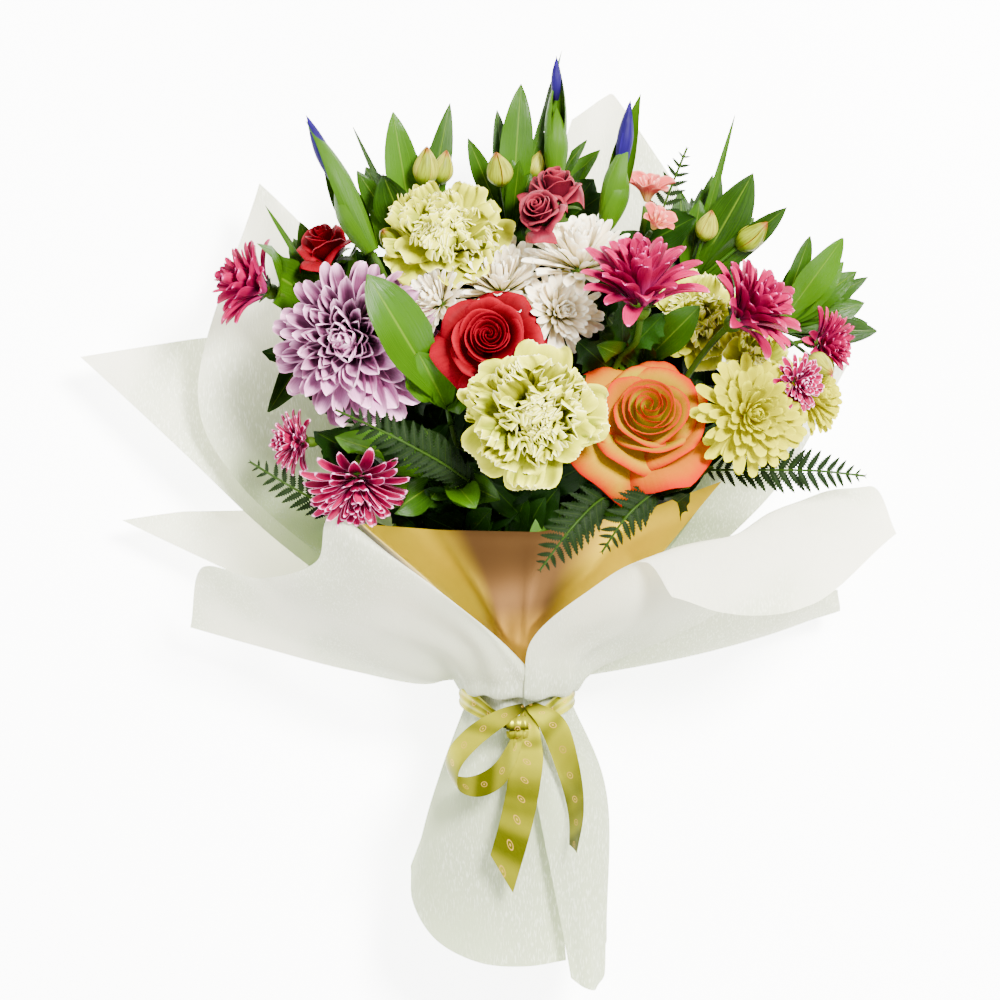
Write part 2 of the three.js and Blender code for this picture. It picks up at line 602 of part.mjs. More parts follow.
const SPRAYS = [
  { name: "leaves_top_left", hub: [418, 262, 70], leaves: [
    { tip: [393, 112, 95], width: 18 }, { tip: [383, 174, 104], width: 22, rise: 12 },
    { tip: [357, 171, 92], width: 14, rise: 2 }, { tip: [450, 103, 84], width: 13 },
    { tip: [353, 127, 84], width: 6 }, { tip: [404, 176, 60], width: 12, rise: -4 } ],
    buds: [
      { tip: [427, 146, 104], radius: 7 }, { tip: [447, 150, 96], radius: 6 },
      { tip: [382, 230, 120], radius: 6 } ] },
  { name: "leaves_top_centre", hub: [510, 240, 66], leaves: [
    { tip: [521, 84, 84], width: 17 }, { tip: [468, 138, 96], width: 11 },
    { tip: [519, 160, 108], width: 10 }, { tip: [497, 110, 74], width: 10, rise: 2 },
    { tip: [587, 140, 82], width: 9 }, { tip: [562, 50, 84], width: 6 },
    { tip: [600, 150, 72], width: 14, rise: 0 } ],
    buds: [{ tip: [496, 152, 116], radius: 7 }, { tip: [540, 150, 78], radius: 5 }] },
  { name: "leaves_top_right", hub: [686, 290, 76], leaves: [
    { tip: [753, 173, 105], width: 22 }, { tip: [787, 207, 108], width: 14, rise: 4 },
    { tip: [700, 200, 95], width: 15 }, { tip: [735, 115, 110], width: 6 },
    { tip: [680, 190, 80], width: 14, rise: 2 }, { tip: [728, 214, 84], width: 16, rise: 0 } ],
    buds: [{ tip: [768, 222, 106], radius: 7 }, { tip: [712, 210, 112], radius: 6 }] },
  { name: "leaves_right", hub: [775, 330, 80], leaves: [
    { tip: [843, 238, 110], width: 17 }, { tip: [868, 277, 88], width: 10, rise: 3 },
    { tip: [877, 331, 84], width: 15, rise: 4 }, { tip: [810, 236, 92], width: 12, rise: 2 },
    { tip: [850, 300, 70], width: 15, rise: 0 } ],
    buds: [{ tip: [833, 374, 134], radius: 7 }] },
  { name: "leaves_left", hub: [334, 310, 64], leaves: [
    { tip: [253, 262, 104], width: 26, rise: 4 }, { tip: [281, 322, 92], width: 22, rise: 0 },
    { tip: [265, 205, 96], width: 6, rise: 2 }, { tip: [268, 412, 84], width: 16, rise: 0 },
    { tip: [300, 222, 80], width: 14, rise: 0 } ] },
  { name: "leaves_centre", hub: [447, 408, 118], leaves: [
    { tip: [367, 274, 166], width: 28, rise: 26 }, { tip: [418, 352, 150], width: 26, rise: 10 },
    { tip: [470, 385, 132], width: 22, rise: 2 } ] },
  { name: "leaves_front", hub: [448, 474, 104], leaves: [
    { tip: [335, 437, 150], width: 20, rise: 22 }, { tip: [476, 508, 152], width: 16, rise: 24 },
    { tip: [392, 512, 146], width: 18, rise: 20 }, { tip: [425, 428, 138], width: 16, rise: 8 },
    { tip: [372, 452, 122], width: 20, rise: 8 }, { tip: [352, 506, 128], width: 16, rise: 12 },
    { tip: [500, 500, 148], width: 14, rise: 18 } ] },
  { name: "leaves_right_centre", hub: [640, 366, 104], leaves: [
    { tip: [700, 306, 152], width: 18, rise: 18 }, { tip: [597, 345, 162], width: 14, rise: 20 },
    { tip: [596, 300, 104], width: 16, rise: 4 } ] },
  { name: "leaves_front_right", hub: [592, 486, 84], leaves: [
    { tip: [520, 540, 142], width: 16, rise: 30 }, { tip: [566, 542, 142], width: 14, rise: 30 },
    { tip: [700, 496, 140], width: 18, rise: 30 }, { tip: [648, 522, 140], width: 16, rise: 28 },
    { tip: [740, 470, 128], width: 16, rise: 14 } ] },
];

// A fern frond: one arched blade, cut to the rib between its leaflets.
function fernNet(route, width, teeth, grow) {
  const rib = new THREE.CatmullRomCurve3(route.map(spot));
  const rows = 2 * teeth;
  return Array.from({ length: rows + 1 }, (_, i) => {
    const share = i / rows;
    const p = rib.getPoint(share);
    if (i === 0 || i === rows) return [p];
    const along = rib.getTangent(share);
    const side = v3().crossVectors(along, UP).normalize();
    const swell = Math.sin(Math.PI * Math.min(0.12 + share * 0.9, 1)) ** 0.7;
    const half = (i % 2 ? 0.5 * width * swell : 1.3) + grow;
    return [-1, 0, 1].map((c) => {
      const q = p.clone().addScaledVector(side, c * half).addScaledVector(UP, -0.18 * half * Math.abs(c));
      q.addScaledVector(along, i % 2 ? 0.22 * half * Math.abs(c) : 0);
      return bentClear(q, LEAF_CLEARANCE, null);
    });
  });
}

const FERNS = [
  { name: "fern_left", width: 28, teeth: 8,
    route: [[482, 490, 126], [440, 462, 160], [388, 434, 172], [336, 410, 164]] },
  { name: "fern_bottom", width: 30, teeth: 8,
    route: [[620, 496, 128], [600, 500, 150], [570, 530, 164], [540, 570, 156]] },
  { name: "fern_bottom_right", width: 26, teeth: 8,
    route: [[664, 488, 128], [652, 494, 150], [627, 516, 163], [602, 552, 156]] },
  { name: "fern_right", width: 28, teeth: 8,
    route: [[740, 500, 92], [775, 478, 112], [820, 472, 124], [865, 476, 122]] },
  { name: "fern_top_right", width: 20, teeth: 8,
    route: [[652, 262, 84], [658, 225, 90], [674, 180, 96], [687, 148, 100]] },
  { name: "fern_low_left", width: 24, teeth: 8,
    route: [[364, 520, 82], [325, 505, 100], [288, 485, 112], [250, 462, 112]] },
];

function frond({ route, width, teeth }, grow = 0) {
  const [first, second] = route.slice(0, 2).map(spot);
  const foot = [first.clone().lerp(second, -0.25), first, first.clone().lerp(second, 0.3)];
  const radii = [1.8, 1.6, 1].map((r) => r + grow);
  return fused([blade(fernNet(route, width, teeth, grow), BLADE + 2 * grow), stalk(foot, radii, 4)]);
}

const stemOf = (foot) => {
  const facing = v3().subVectors(foot, tieMiddle).normalize();
  return { seat: foot, facing, wide: STEM_RADIUS, own: null };
};

const rooted = new Map(ALONE.map((name) => [name, seatUnder(name)]));
for (const { name, hub } of SPRAYS) rooted.set(name, stemOf(sprayFoot(spot(hub))));
for (const { name, route } of FERNS) {
  const [first, second] = route.slice(0, 2).map(spot);
  const facing = v3().subVectors(second, first).normalize();
  rooted.set(name, { seat: first.clone().lerp(second, -0.25), facing, wide: STEM_RADIUS, own: null });
}
for (const [name] of BRANCHED) rooted.has(name) || rooted.set(name, seatUnder(name));
const parents = new Map(BRANCHED.map(([name, parent, joint]) => [name, { parent, joint }]));
const alone = [...rooted.keys()].filter((name) => !parents.has(name));
const places = tiePlaces(alone.map((name) => rooted.get(name).seat));
const stems = new Map(alone.map((name, k) => [name, mainStem(rooted.get(name), places[k])]));
for (const [name, { parent, joint }] of parents) {
  stems.set(name, branch({ ...rooted.get(name), from: stems.get(parent), joint }));
}

// The stems' lower ends, cut at one length, fan out below the tie.
const lowerEnds = places.filter((_, k) => k % 3 !== 2).map((place) =>
  stalk(
    [stemAt(place, 0), stemAt(place, -STEMS_BELOW, STEM_SPREAD).addScaledVector(tieFront, TAIL_LIFT)],
    [STEM_RADIUS, STEM_RADIUS],
    STEM_SIDES,
  ),
);
const coreEnds = [tiePoint(0, 0, -CORE_HALF), tiePoint(0, 0, CORE_HALF)];
const bindingCore = stalk(coreEnds, [CORE_RADIUS, CORE_RADIUS], 10);
const stemSolids = (grow) =>
  [...stems.values()].map(({ path, radii, sides }) => stalk(path, radii.map((r) => r + grow), sides));
const stemBundle = fused([bindingCore, ...lowerEnds, ...stemSolids(0)], SMOOTHING);
const fatStems = wasm.Manifold.union(stemSolids(2 * GAP));

// Cuts a body back where it would run through an obstacle, by the obstacle's fatter copy.
const meets = (a, b) => a.intersect(b).volume() > 0;
function cleared(body, obstacles) {
  const cutters = obstacles.filter(({ solid: other }) => meets(body, other)).map(({ fat }) => fat);
  return cutters.length ? fused([body.subtract(wasm.Manifold.union(cutters))]) : body;
}

function bloomSpace({ centre, facing, radius, deep }) {
  const [wide, tall] = [radius + GAP, deep * 0.6 + GAP];
  const [rim, shoulder] = [0.8 * wide, 0.6 * tall];
  const shape = turned([[0, -tall], [rim, -shoulder], [wide, 0], [rim, shoulder], [0, tall]], 8);
  return shape.transform(standing(centre, facing).toArray());
}

const stemObstacle = { solid: stemBundle, fat: fatStems };
const obstacles = [stemObstacle];
for (const bloom of BLOOMS) {
  bloom.solid = cleared(bloom.solid, [stemObstacle]);
  obstacles.push({ solid: bloom.solid, fat: bloomSpace(bloom) });
}
const green = [
  ...SPRAYS.map((one) => ({ one, make: leafySpray })),
  ...FERNS.map((one) => ({ one, make: frond })),
];
const foliage = green.map(({ one, make }) => {
  const body = cleared(make(one), obstacles);
  obstacles.push({ solid: body, fat: make(one, GAP) });
  return { name: one.name, body };
});

// The paper sheets. A sheet is set by columns, left to right: where each passes the tie, as an angle
// round it, and the places that it runs through above and below.
const RING = { gold: 21.5, inner: 23.4, back: 25.4, outer: 27.5, frontLeft: 29.6, frontRight: 31.7 };

// Just above the tie the sheets open one inside another, the inner ones higher up, before each goes
// its own way.
const FLARE = 1.16;
const FLARE_END = 12;
const FLARE_STEP = 0.9;

function wrapSheet({ ring, columns, rows, across }) {
  const spread = (points) => through(points, across);
  const angles = spread(columns.map(({ turn }) => v3(turn, 0, 0))).map((p) => p.x);
  const side = (key) => {
    const depth = columns[0][key]?.length ?? 0;
    return Array.from({ length: depth }, (_, k) => spread(columns.map((column) => spot(column[key][k]))));
  };
  const [above, below] = [side("above"), side("below")];
  const risen = angles.map((angle, j) => {
    const [low, high] = [tiePoint(angle, ring, -TIE_HALF), tiePoint(angle, ring, TIE_HALF)];
    const flare = tiePoint(angle, ring * FLARE, FLARE_END + (RING.frontRight - ring) * FLARE_STEP);
    const column = (first, next) => through([first, ...next.map((row) => row[j])], next.length * rows + 1);
    const skirt = below.length ? column(low, below) : [low];
    return [...skirt.reverse(), high, ...column(flare, above)];
  });
  const net = risen[0].map((_, i) => risen.map((column) => column[i]));
  for (const p of net.flat()) p.z = Math.max(p.z, PAPER / 2);
  return sheet(net, PAPER);
}

const SHEETS = [
  { name: "wrap_gold", ring: RING.gold, rows: 2, across: 8, columns: [
    { turn: 185, above: [[430, 600, 85], [352, 520, 104]] },
    { turn: 150, above: [[445, 598, 104], [362, 524, 118]] },
    { turn: 115, above: [[480, 600, 116], [440, 530, 128]] },
    { turn: 85, above: [[530, 598, 118], [540, 532, 130]] },
    { turn: 60, above: [[580, 590, 112], [640, 512, 130]] },
    { turn: 35, above: [[638, 580, 104], [722, 481, 122]] } ] },
  { name: "wrap_inner_left", ring: RING.inner, rows: 1, across: 7, columns: [
    { turn: 185, above: [[345, 575, 72], [235, 480, 52], [198, 400, 50], [260, 183, 44]] },
    { turn: 212, above: [[385, 560, 36], [330, 450, 24], [300, 340, 26], [296, 218, 38]] },
    { turn: 235, above: [[430, 560, 26], [390, 450, 12], [350, 350, 14], [340, 262, 24]] },
    { turn: 257, above: [[470, 560, 24], [445, 450, 9], [420, 370, 8], [392, 300, 14]] } ] },
  { name: "wrap_inner_right", ring: RING.inner, rows: 1, across: 7, columns: [
    { turn: 263, above: [[515, 560, 24], [515, 400, 9], [530, 250, 12], [572, 120, 30]] },
    { turn: 288, above: [[550, 560, 24], [570, 400, 10], [600, 250, 14], [612, 93, 34]] },
    { turn: 318, above: [[595, 565, 34], [650, 430, 26], [704, 320, 26], [690, 205, 34]] },
    { turn: 336, above: [[635, 590, 51], [720, 480, 52], [790, 400, 50], [760, 290, 46]] } ] },
  { name: "wrap_back", ring: RING.back, rows: 1, across: 10, columns: [
    { turn: 190, above: [[408, 632, 53], [290, 550, 42], [180, 450, 38], [80, 358, 30]] },
    { turn: 222, above: [[438, 608, 26], [360, 520, 16], [280, 430, 12], [200, 338, 14]] },
    { turn: 254, above: [[490, 600, 20], [455, 500, 0.5], [430, 420, 0.5], [400, 330, 0.5]] },
    { turn: 286, above: [[545, 600, 20], [570, 500, 0.5], [590, 420, 0.5], [600, 330, 0.5]] },
    { turn: 318, above: [[595, 610, 30], [660, 520, 16], [720, 440, 14], [770, 370, 18]] },
    { turn: 350, above: [[622, 634, 56], [705, 560, 44], [784, 480, 42], [848, 365, 42]] } ] },
  { name: "wrap_lower_left", ring: RING.outer, rows: 1, across: 7, columns: [
    { turn: 180, above: [[402, 641, 49], [300, 604, 36], [205, 560, 28], [122, 520, 24]],
      below: [[445, 790, 60], [420, 885, 50]] },
    { turn: 210, above: [[425, 640, 32], [345, 588, 18], [270, 540, 14], [185, 510, 16]],
      below: [[450, 810, 34], [432, 915, 24]] },
    { turn: 240, above: [[470, 650, 22], [430, 615, 12], [370, 560, 5], [300, 510, 4]],
      below: [[480, 820, 16], [465, 940, 4]] },
    { turn: 270, above: [[510, 655, 24], [500, 630, 18], [480, 600, 12], [470, 575, 8]],
      below: [[515, 820, 12], [515, 950, 0.5]] },
    { turn: 298, above: [[545, 660, 28], [548, 645, 25], [550, 630, 22], [552, 620, 20]],
      below: [[555, 815, 14], [560, 940, 5]] } ] },
  { name: "wrap_lower_right", ring: RING.outer, rows: 1, across: 7, columns: [
    { turn: 304, above: [[578, 662, 30], [615, 660, 22], [650, 655, 16], [700, 645, 12]],
      below: [[572, 812, 20], [580, 920, 12]] },
    { turn: 330, above: [[592, 668, 38], [670, 656, 27], [745, 638, 19], [830, 602, 15]],
      below: [[588, 800, 36], [598, 920, 26]] },
    { turn: 360, above: [[592, 672, 50], [690, 655, 38], [770, 632, 30], [840, 611, 26]],
      below: [[596, 790, 60], [602, 930, 50]] },
    { turn: 390, above: [[583, 660, 60], [680, 644, 50], [760, 615, 44], [838, 594, 42]],
      below: [[588, 785, 78], [592, 935, 68]] } ] },
  { name: "wrap_front_left", ring: RING.frontLeft, rows: 2, across: 6, columns: [
    { turn: 205, above: [[430, 682, 48], [350, 670, 45], [265, 648, 42], [190, 628, 36]],
      below: [[430, 815, 46], [406, 893, 38]] },
    { turn: 180, above: [[428, 682, 74], [345, 654, 78], [270, 615, 76], [202, 567, 72]],
      below: [[432, 800, 74], [412, 900, 62]] },
    { turn: 150, above: [[440, 656, 100], [375, 630, 108], [315, 600, 114], [262, 582, 116]],
      below: [[450, 790, 88], [430, 940, 78]] },
    { turn: 120, above: [[470, 648, 110], [415, 610, 124], [360, 582, 134], [318, 560, 132]],
      below: [[486, 785, 98], [478, 962, 88]] },
    { turn: 88, above: [[500, 636, 118], [440, 588, 138], [376, 546, 150], [331, 515, 142]],
      below: [[524, 780, 101], [530, 966, 92]] },
    { turn: 65, above: [[522, 655, 104], [500, 640, 112], [480, 628, 118], [462, 615, 122]],
      below: [[550, 780, 98], [566, 960, 88]] } ] },
  { name: "wrap_front_right", ring: RING.frontRight, rows: 2, across: 6, columns: [
    { turn: 84, above: [[547, 655, 110], [605, 610, 118], [655, 580, 128], [672, 597, 138]],
      below: [[532, 775, 108], [574, 985, 100]] },
    { turn: 58, above: [[568, 652, 98], [650, 600, 108], [735, 532, 122], [725, 612, 138]],
      below: [[568, 785, 104], [592, 985, 94]] },
    { turn: 30, above: [[585, 658, 84], [690, 605, 90], [800, 504, 110], [805, 607, 130]],
      below: [[598, 785, 88], [606, 970, 76]] },
    { turn: 0, above: [[605, 665, 62], [715, 615, 64], [870, 483, 88], [897, 532, 104]],
      below: [[606, 790, 60], [612, 950, 50]] } ] },
];

// The ribbon: a strip along a path, with its width along side.
function strip(path, side, width) {
  return sheet(path.map((p) => [-0.5, 0.5].map((c) => p.clone().addScaledVector(side, c * width))), RIBBON);
}

const RIBBON_RING = 34.2;
const BAND_WIDTH = 10;
const BAND_DROP = 2;
const KNOT = [[508, 703, 98.5], [518, 703, 101.5], [536, 704, 101.5], [547, 705, 98.5]];
const KNOT_RADII = [4.5, 7, 7, 4.5];
const LOOP = [
  [528, 706, 104], [496, 732, 112], [462, 766, 114], [450, 790, 108], [474, 776, 103], [506, 738, 103],
  [524, 712, 100],
];
const LOOP_WIDTH = 0.8 * RIBBON_WIDTH;
const TAILS = [
  [[520, 710, 101], [508, 760, 106], [499, 815, 107], [497, 880, 103]],
  [[534, 712, 104], [560, 750, 115], [576, 800, 116], [572, 855, 116]],
];

function ribbon() {
  const turns = Array.from({ length: 14 }, (_, k) => 96 + (348 * k) / 13);
  const ring = turns.map((turn) => tiePoint(turn, RIBBON_RING, -BAND_DROP));
  const acrossLoop = v3(0.76, -0.6, 0.2).normalize();
  const acrossTail = v3(1, -0.1, 0.08).normalize();
  return fused([
    strip(ring, tieAxis, BAND_WIDTH),
    stalk(through(KNOT.map(spot), 4), KNOT_RADII, 6),
    strip(through(LOOP.map(spot), 9), acrossLoop, LOOP_WIDTH),
    ...TAILS.map((tail) => strip(through(tail.map(spot), 4), acrossTail, RIBBON_WIDTH)),
  ]);
}

// The string that binds the stems.
function stringRing() {
  const geometry = new THREE.TorusGeometry(STRING_RING, STRING_RADIUS, 4, 10);
  geometry.rotateX(-Math.PI / 2 + AXIS_TILT);
  geometry.translate(tieMiddle.x, tieMiddle.y, tieMiddle.z);
  geometry.deleteAttribute("normal");
  geometry.deleteAttribute("uv");
  const merged = mergeVertices(geometry);
  const vertProperties = merged.attributes.position.array;
  const triVerts = new Uint32Array(merged.index.array);
  return new wasm.Manifold(new wasm.Mesh({ numProp: 3, vertProperties, triVerts }));
}

// Colours
const COLOURS = {
  rose_orange: "#ff8a1c", rose_red: "#c8102e", rose_coral: "#c9485a", carnation: "#e6eaa6",
  lavender: "#b98bb0", white: "#f5f1e6", magenta: "#b8175f", yellow: "#fce92a", alstroemeria: "#f08a84",
  iris_flower: "#3a33b0", iris_sheath: "#6fa23c", leaves: "#4b8a2a", fern: "#2b5a1e", stems: "#6a9a3a",
  gold: "#d9b64e", wrap: "#e4e8db", ribbon: "#9a9c45", string: "#cdbf9a",
};
const GOLD_FINISH = { roughness: 0.35, metalness: 0.8 };
const bouquet = new THREE.Group();

function addMesh(name, body, colour, { roughness = 0.6, metalness = 0 } = {}) {
  const { vertProperties, triVerts } = body.getMesh();
  const geometry = new THREE.BufferGeometry();
  geometry.setAttribute("position", new THREE.BufferAttribute(vertProperties, 3));
  geometry.setIndex(new THREE.BufferAttribute(triVerts, 1));
  geometry.computeVertexNormals();
  const finish = new THREE.MeshStandardMaterial({ color: colour, roughness, metalness });
  const mesh = new THREE.Mesh(geometry, finish);
  mesh.name = name;
  bouquet.add(mesh);
}

const colourOf = (name) => COLOURS[Object.keys(COLOURS).find((key) => name.includes(key))];
for (const bloom of BLOOMS) addMesh(bloom.name, bloom.solid, colourOf(bloom.name));
for (const { name, body } of foliage) addMesh(name, body, colourOf(name));
addMesh("stems", stemBundle, COLOURS.stems);
for (const wrap of SHEETS) {
  if (wrap.name === "wrap_gold") addMesh(wrap.name, wrapSheet(wrap), COLOURS.gold, GOLD_FINISH);
  else addMesh(wrap.name, wrapSheet(wrap), COLOURS.wrap);
}
addMesh("string", stringRing(), COLOURS.string);
addMesh("ribbon", ribbon(), COLOURS.ribbon, { roughness: 0.4 });

export default bouquet;
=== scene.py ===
import math

import bpy
import numpy as np
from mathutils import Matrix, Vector


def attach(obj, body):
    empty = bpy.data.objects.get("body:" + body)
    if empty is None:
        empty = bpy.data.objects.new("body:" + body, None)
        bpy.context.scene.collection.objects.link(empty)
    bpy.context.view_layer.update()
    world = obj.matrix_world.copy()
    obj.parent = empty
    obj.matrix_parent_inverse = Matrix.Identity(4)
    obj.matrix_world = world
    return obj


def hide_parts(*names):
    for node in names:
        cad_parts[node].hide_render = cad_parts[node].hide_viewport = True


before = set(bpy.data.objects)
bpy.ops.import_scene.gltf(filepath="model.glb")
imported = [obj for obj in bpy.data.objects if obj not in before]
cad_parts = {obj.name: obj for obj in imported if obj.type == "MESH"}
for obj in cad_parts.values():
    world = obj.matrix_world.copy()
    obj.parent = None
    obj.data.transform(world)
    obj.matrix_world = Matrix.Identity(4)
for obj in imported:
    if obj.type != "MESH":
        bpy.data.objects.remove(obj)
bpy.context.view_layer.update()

# The view. The bouquet lies on its back and is looked at from straight above. Places in this file are
# [across, down, height]: across and down in the 1000 x 1000 frame of that view, and height in
# millimetres above the surface that the bouquet lies on.
MM = 0.001
EYE_HEIGHT = 2000.0
VIEW_SCALE = 3259.0
VIEW_SIZE = 1000.0
# the middle of the bouquet's footprint, from the point straight below the eye
FOOTPRINT_MIDDLE = np.array([-11.48, -9.545, 0.0])
SENSOR = 36.0


def spot(place):
    """The points, in millimetres, at places of the view. The last axis of place is [across, down, height]."""
    place = np.asarray(place, float)
    scale = (EYE_HEIGHT - place[..., 2]) / VIEW_SCALE
    x = (place[..., 0] - VIEW_SIZE / 2) * scale
    y = (VIEW_SIZE / 2 - place[..., 1]) * scale
    return np.stack([x, y, place[..., 2]], axis=-1) - FOOTPRINT_MIDDLE


camera_data = bpy.data.cameras.new("camera")
camera_data.sensor_width = SENSOR
camera_data.lens = SENSOR * VIEW_SCALE / VIEW_SIZE
camera = bpy.data.objects.new("camera", camera_data)
camera.location = (-FOOTPRINT_MIDDLE[0] * MM, -FOOTPRINT_MIDDLE[1] * MM, EYE_HEIGHT * MM)
bpy.context.scene.collection.objects.link(camera)
bpy.context.scene.camera = camera

# The roses: an orange one, two red ones and a coral spray rose with two open heads. Each petal is a
# soft blade cupped round the ones inside it, and the outer ones are rolled back at the lip. They stand on
# a green calyx. What these pieces need first, such as a thin blade and a shader's tree, is made here.


class Tree:
    """A node tree under construction. Its calls return sockets that take part in Python expressions."""

    def __init__(self, tree):
        self.tree = tree

    def node(self, kind, settings=None, inputs=None, output=0):
        made = self.tree.nodes.new(kind)
        for key, value in (settings or {}).items():
            if key == "stops":
                ramp = made.color_ramp
                while len(ramp.elements) < len(value):
                    ramp.elements.new(1.0)
                for element, (place, colour) in zip(ramp.elements, value):
                    element.position = place
                    element.color = (*colour, 1.0)
            else:
                setattr(made, key, value)
        for key, value in (inputs or {}).items():
            socket = made.inputs[key]
            if isinstance(value, Socket):
                self.tree.links.new(value.socket, socket)
            elif value is not None:
                socket.default_value = value
        return Socket(self, made.outputs[output]) if made.outputs else None


class Socket:
    """One output of a node. Its operators add Math nodes to the tree."""

    def __init__(self, tree, socket):
        self.tree = tree
        self.socket = socket

    def math(self, operation, *others, clamp=False):
        values = dict(enumerate([self, *others]))
        return self.tree.node("ShaderNodeMath", {"operation": operation, "use_clamp": clamp}, values)

    def __add__(self, other):
        return self.math("ADD", other)

    def __sub__(self, other):
        return self.math("SUBTRACT", other)

    def __mul__(self, other):
        return self.math("MULTIPLY", other)

    def __pow__(self, other):
        return self.math("POWER", other)

    def __rsub__(self, other):
        return (self * -1.0) + other

    __radd__ = __add__
    __rmul__ = __mul__

    def out(self, name):
        """Another output of the same node."""
        return Socket(self.tree, self.socket.node.outputs[name])

    def steps(self, low, high):
        """0 below low, 1 above high and smooth between them."""
        settings = {"interpolation_type": "SMOOTHSTEP", "clamp": True}
        inputs = {"Value": self, "From Min": low, "From Max": high}
        return self.tree.node("ShaderNodeMapRange", settings, inputs)


def blend(tree, share, first, second, mode="MIX"):
    """A colour between two others, by the share of the second."""
    first, second = [(*c, 1.0) if isinstance(c, tuple) and len(c) == 3 else c for c in (first, second)]
    settings = {"data_type": "RGBA", "blend_type": mode}
    made = tree.node("ShaderNodeMix", settings)
    node = made.socket.node
    for index, value in ((0, share), (6, first), (7, second)):
        if isinstance(value, Socket):
            tree.tree.links.new(value.socket, node.inputs[index])
        else:
            node.inputs[index].default_value = value
    return Socket(tree, node.outputs[2])


def colour(code):
    """A colour written as on a paint card, in the renderer's linear values."""
    values = [int(code[i:i + 2], 16) / 255 for i in (1, 3, 5)]
    return tuple(v / 12.92 if v < 0.04045 else ((v + 0.055) / 1.055) ** 2.4 for v in values)


def material(name, shade, roughness=0.5, thin=0.0, gloss=0.08, painted_glow=0.0, **sockets):
    """A material from shade(tree), which returns the base colour and perhaps more sockets by name.
    thin is the share of light that passes through, as in a petal held to the light, and glow is painted
    light: an emission in the base colour that lifts the shade in the petals."""
    made = bpy.data.materials.new(name)
    made.use_nodes = True
    tree = Tree(made.node_tree)
    made.node_tree.nodes.clear()
    links = {"Roughness": roughness, "Specular IOR Level": gloss, **sockets, **shade(tree)}
    # painted light: the surface glows in its own base colour, to lift its shade
    if painted_glow:
        links.update({"Emission Color": links["Base Color"], "Emission Strength": painted_glow})
    bump = links.pop("bump", None)
    if bump is not None:
        height, strength, distance = bump
        inputs = {"Height": height, "Strength": strength, "Distance": distance}
        links["Normal"] = tree.node("ShaderNodeBump", {}, inputs)
    surface = tree.node("ShaderNodeBsdfPrincipled", {}, links)
    if thin:
        through = tree.node("ShaderNodeBsdfTranslucent", {}, {"Color": links["Base Color"]})
        surface = tree.node("ShaderNodeMixShader", {}, {0: thin, 1: surface, 2: through})
    tree.node("ShaderNodeOutputMaterial", {}, {"Surface": surface})
    return made


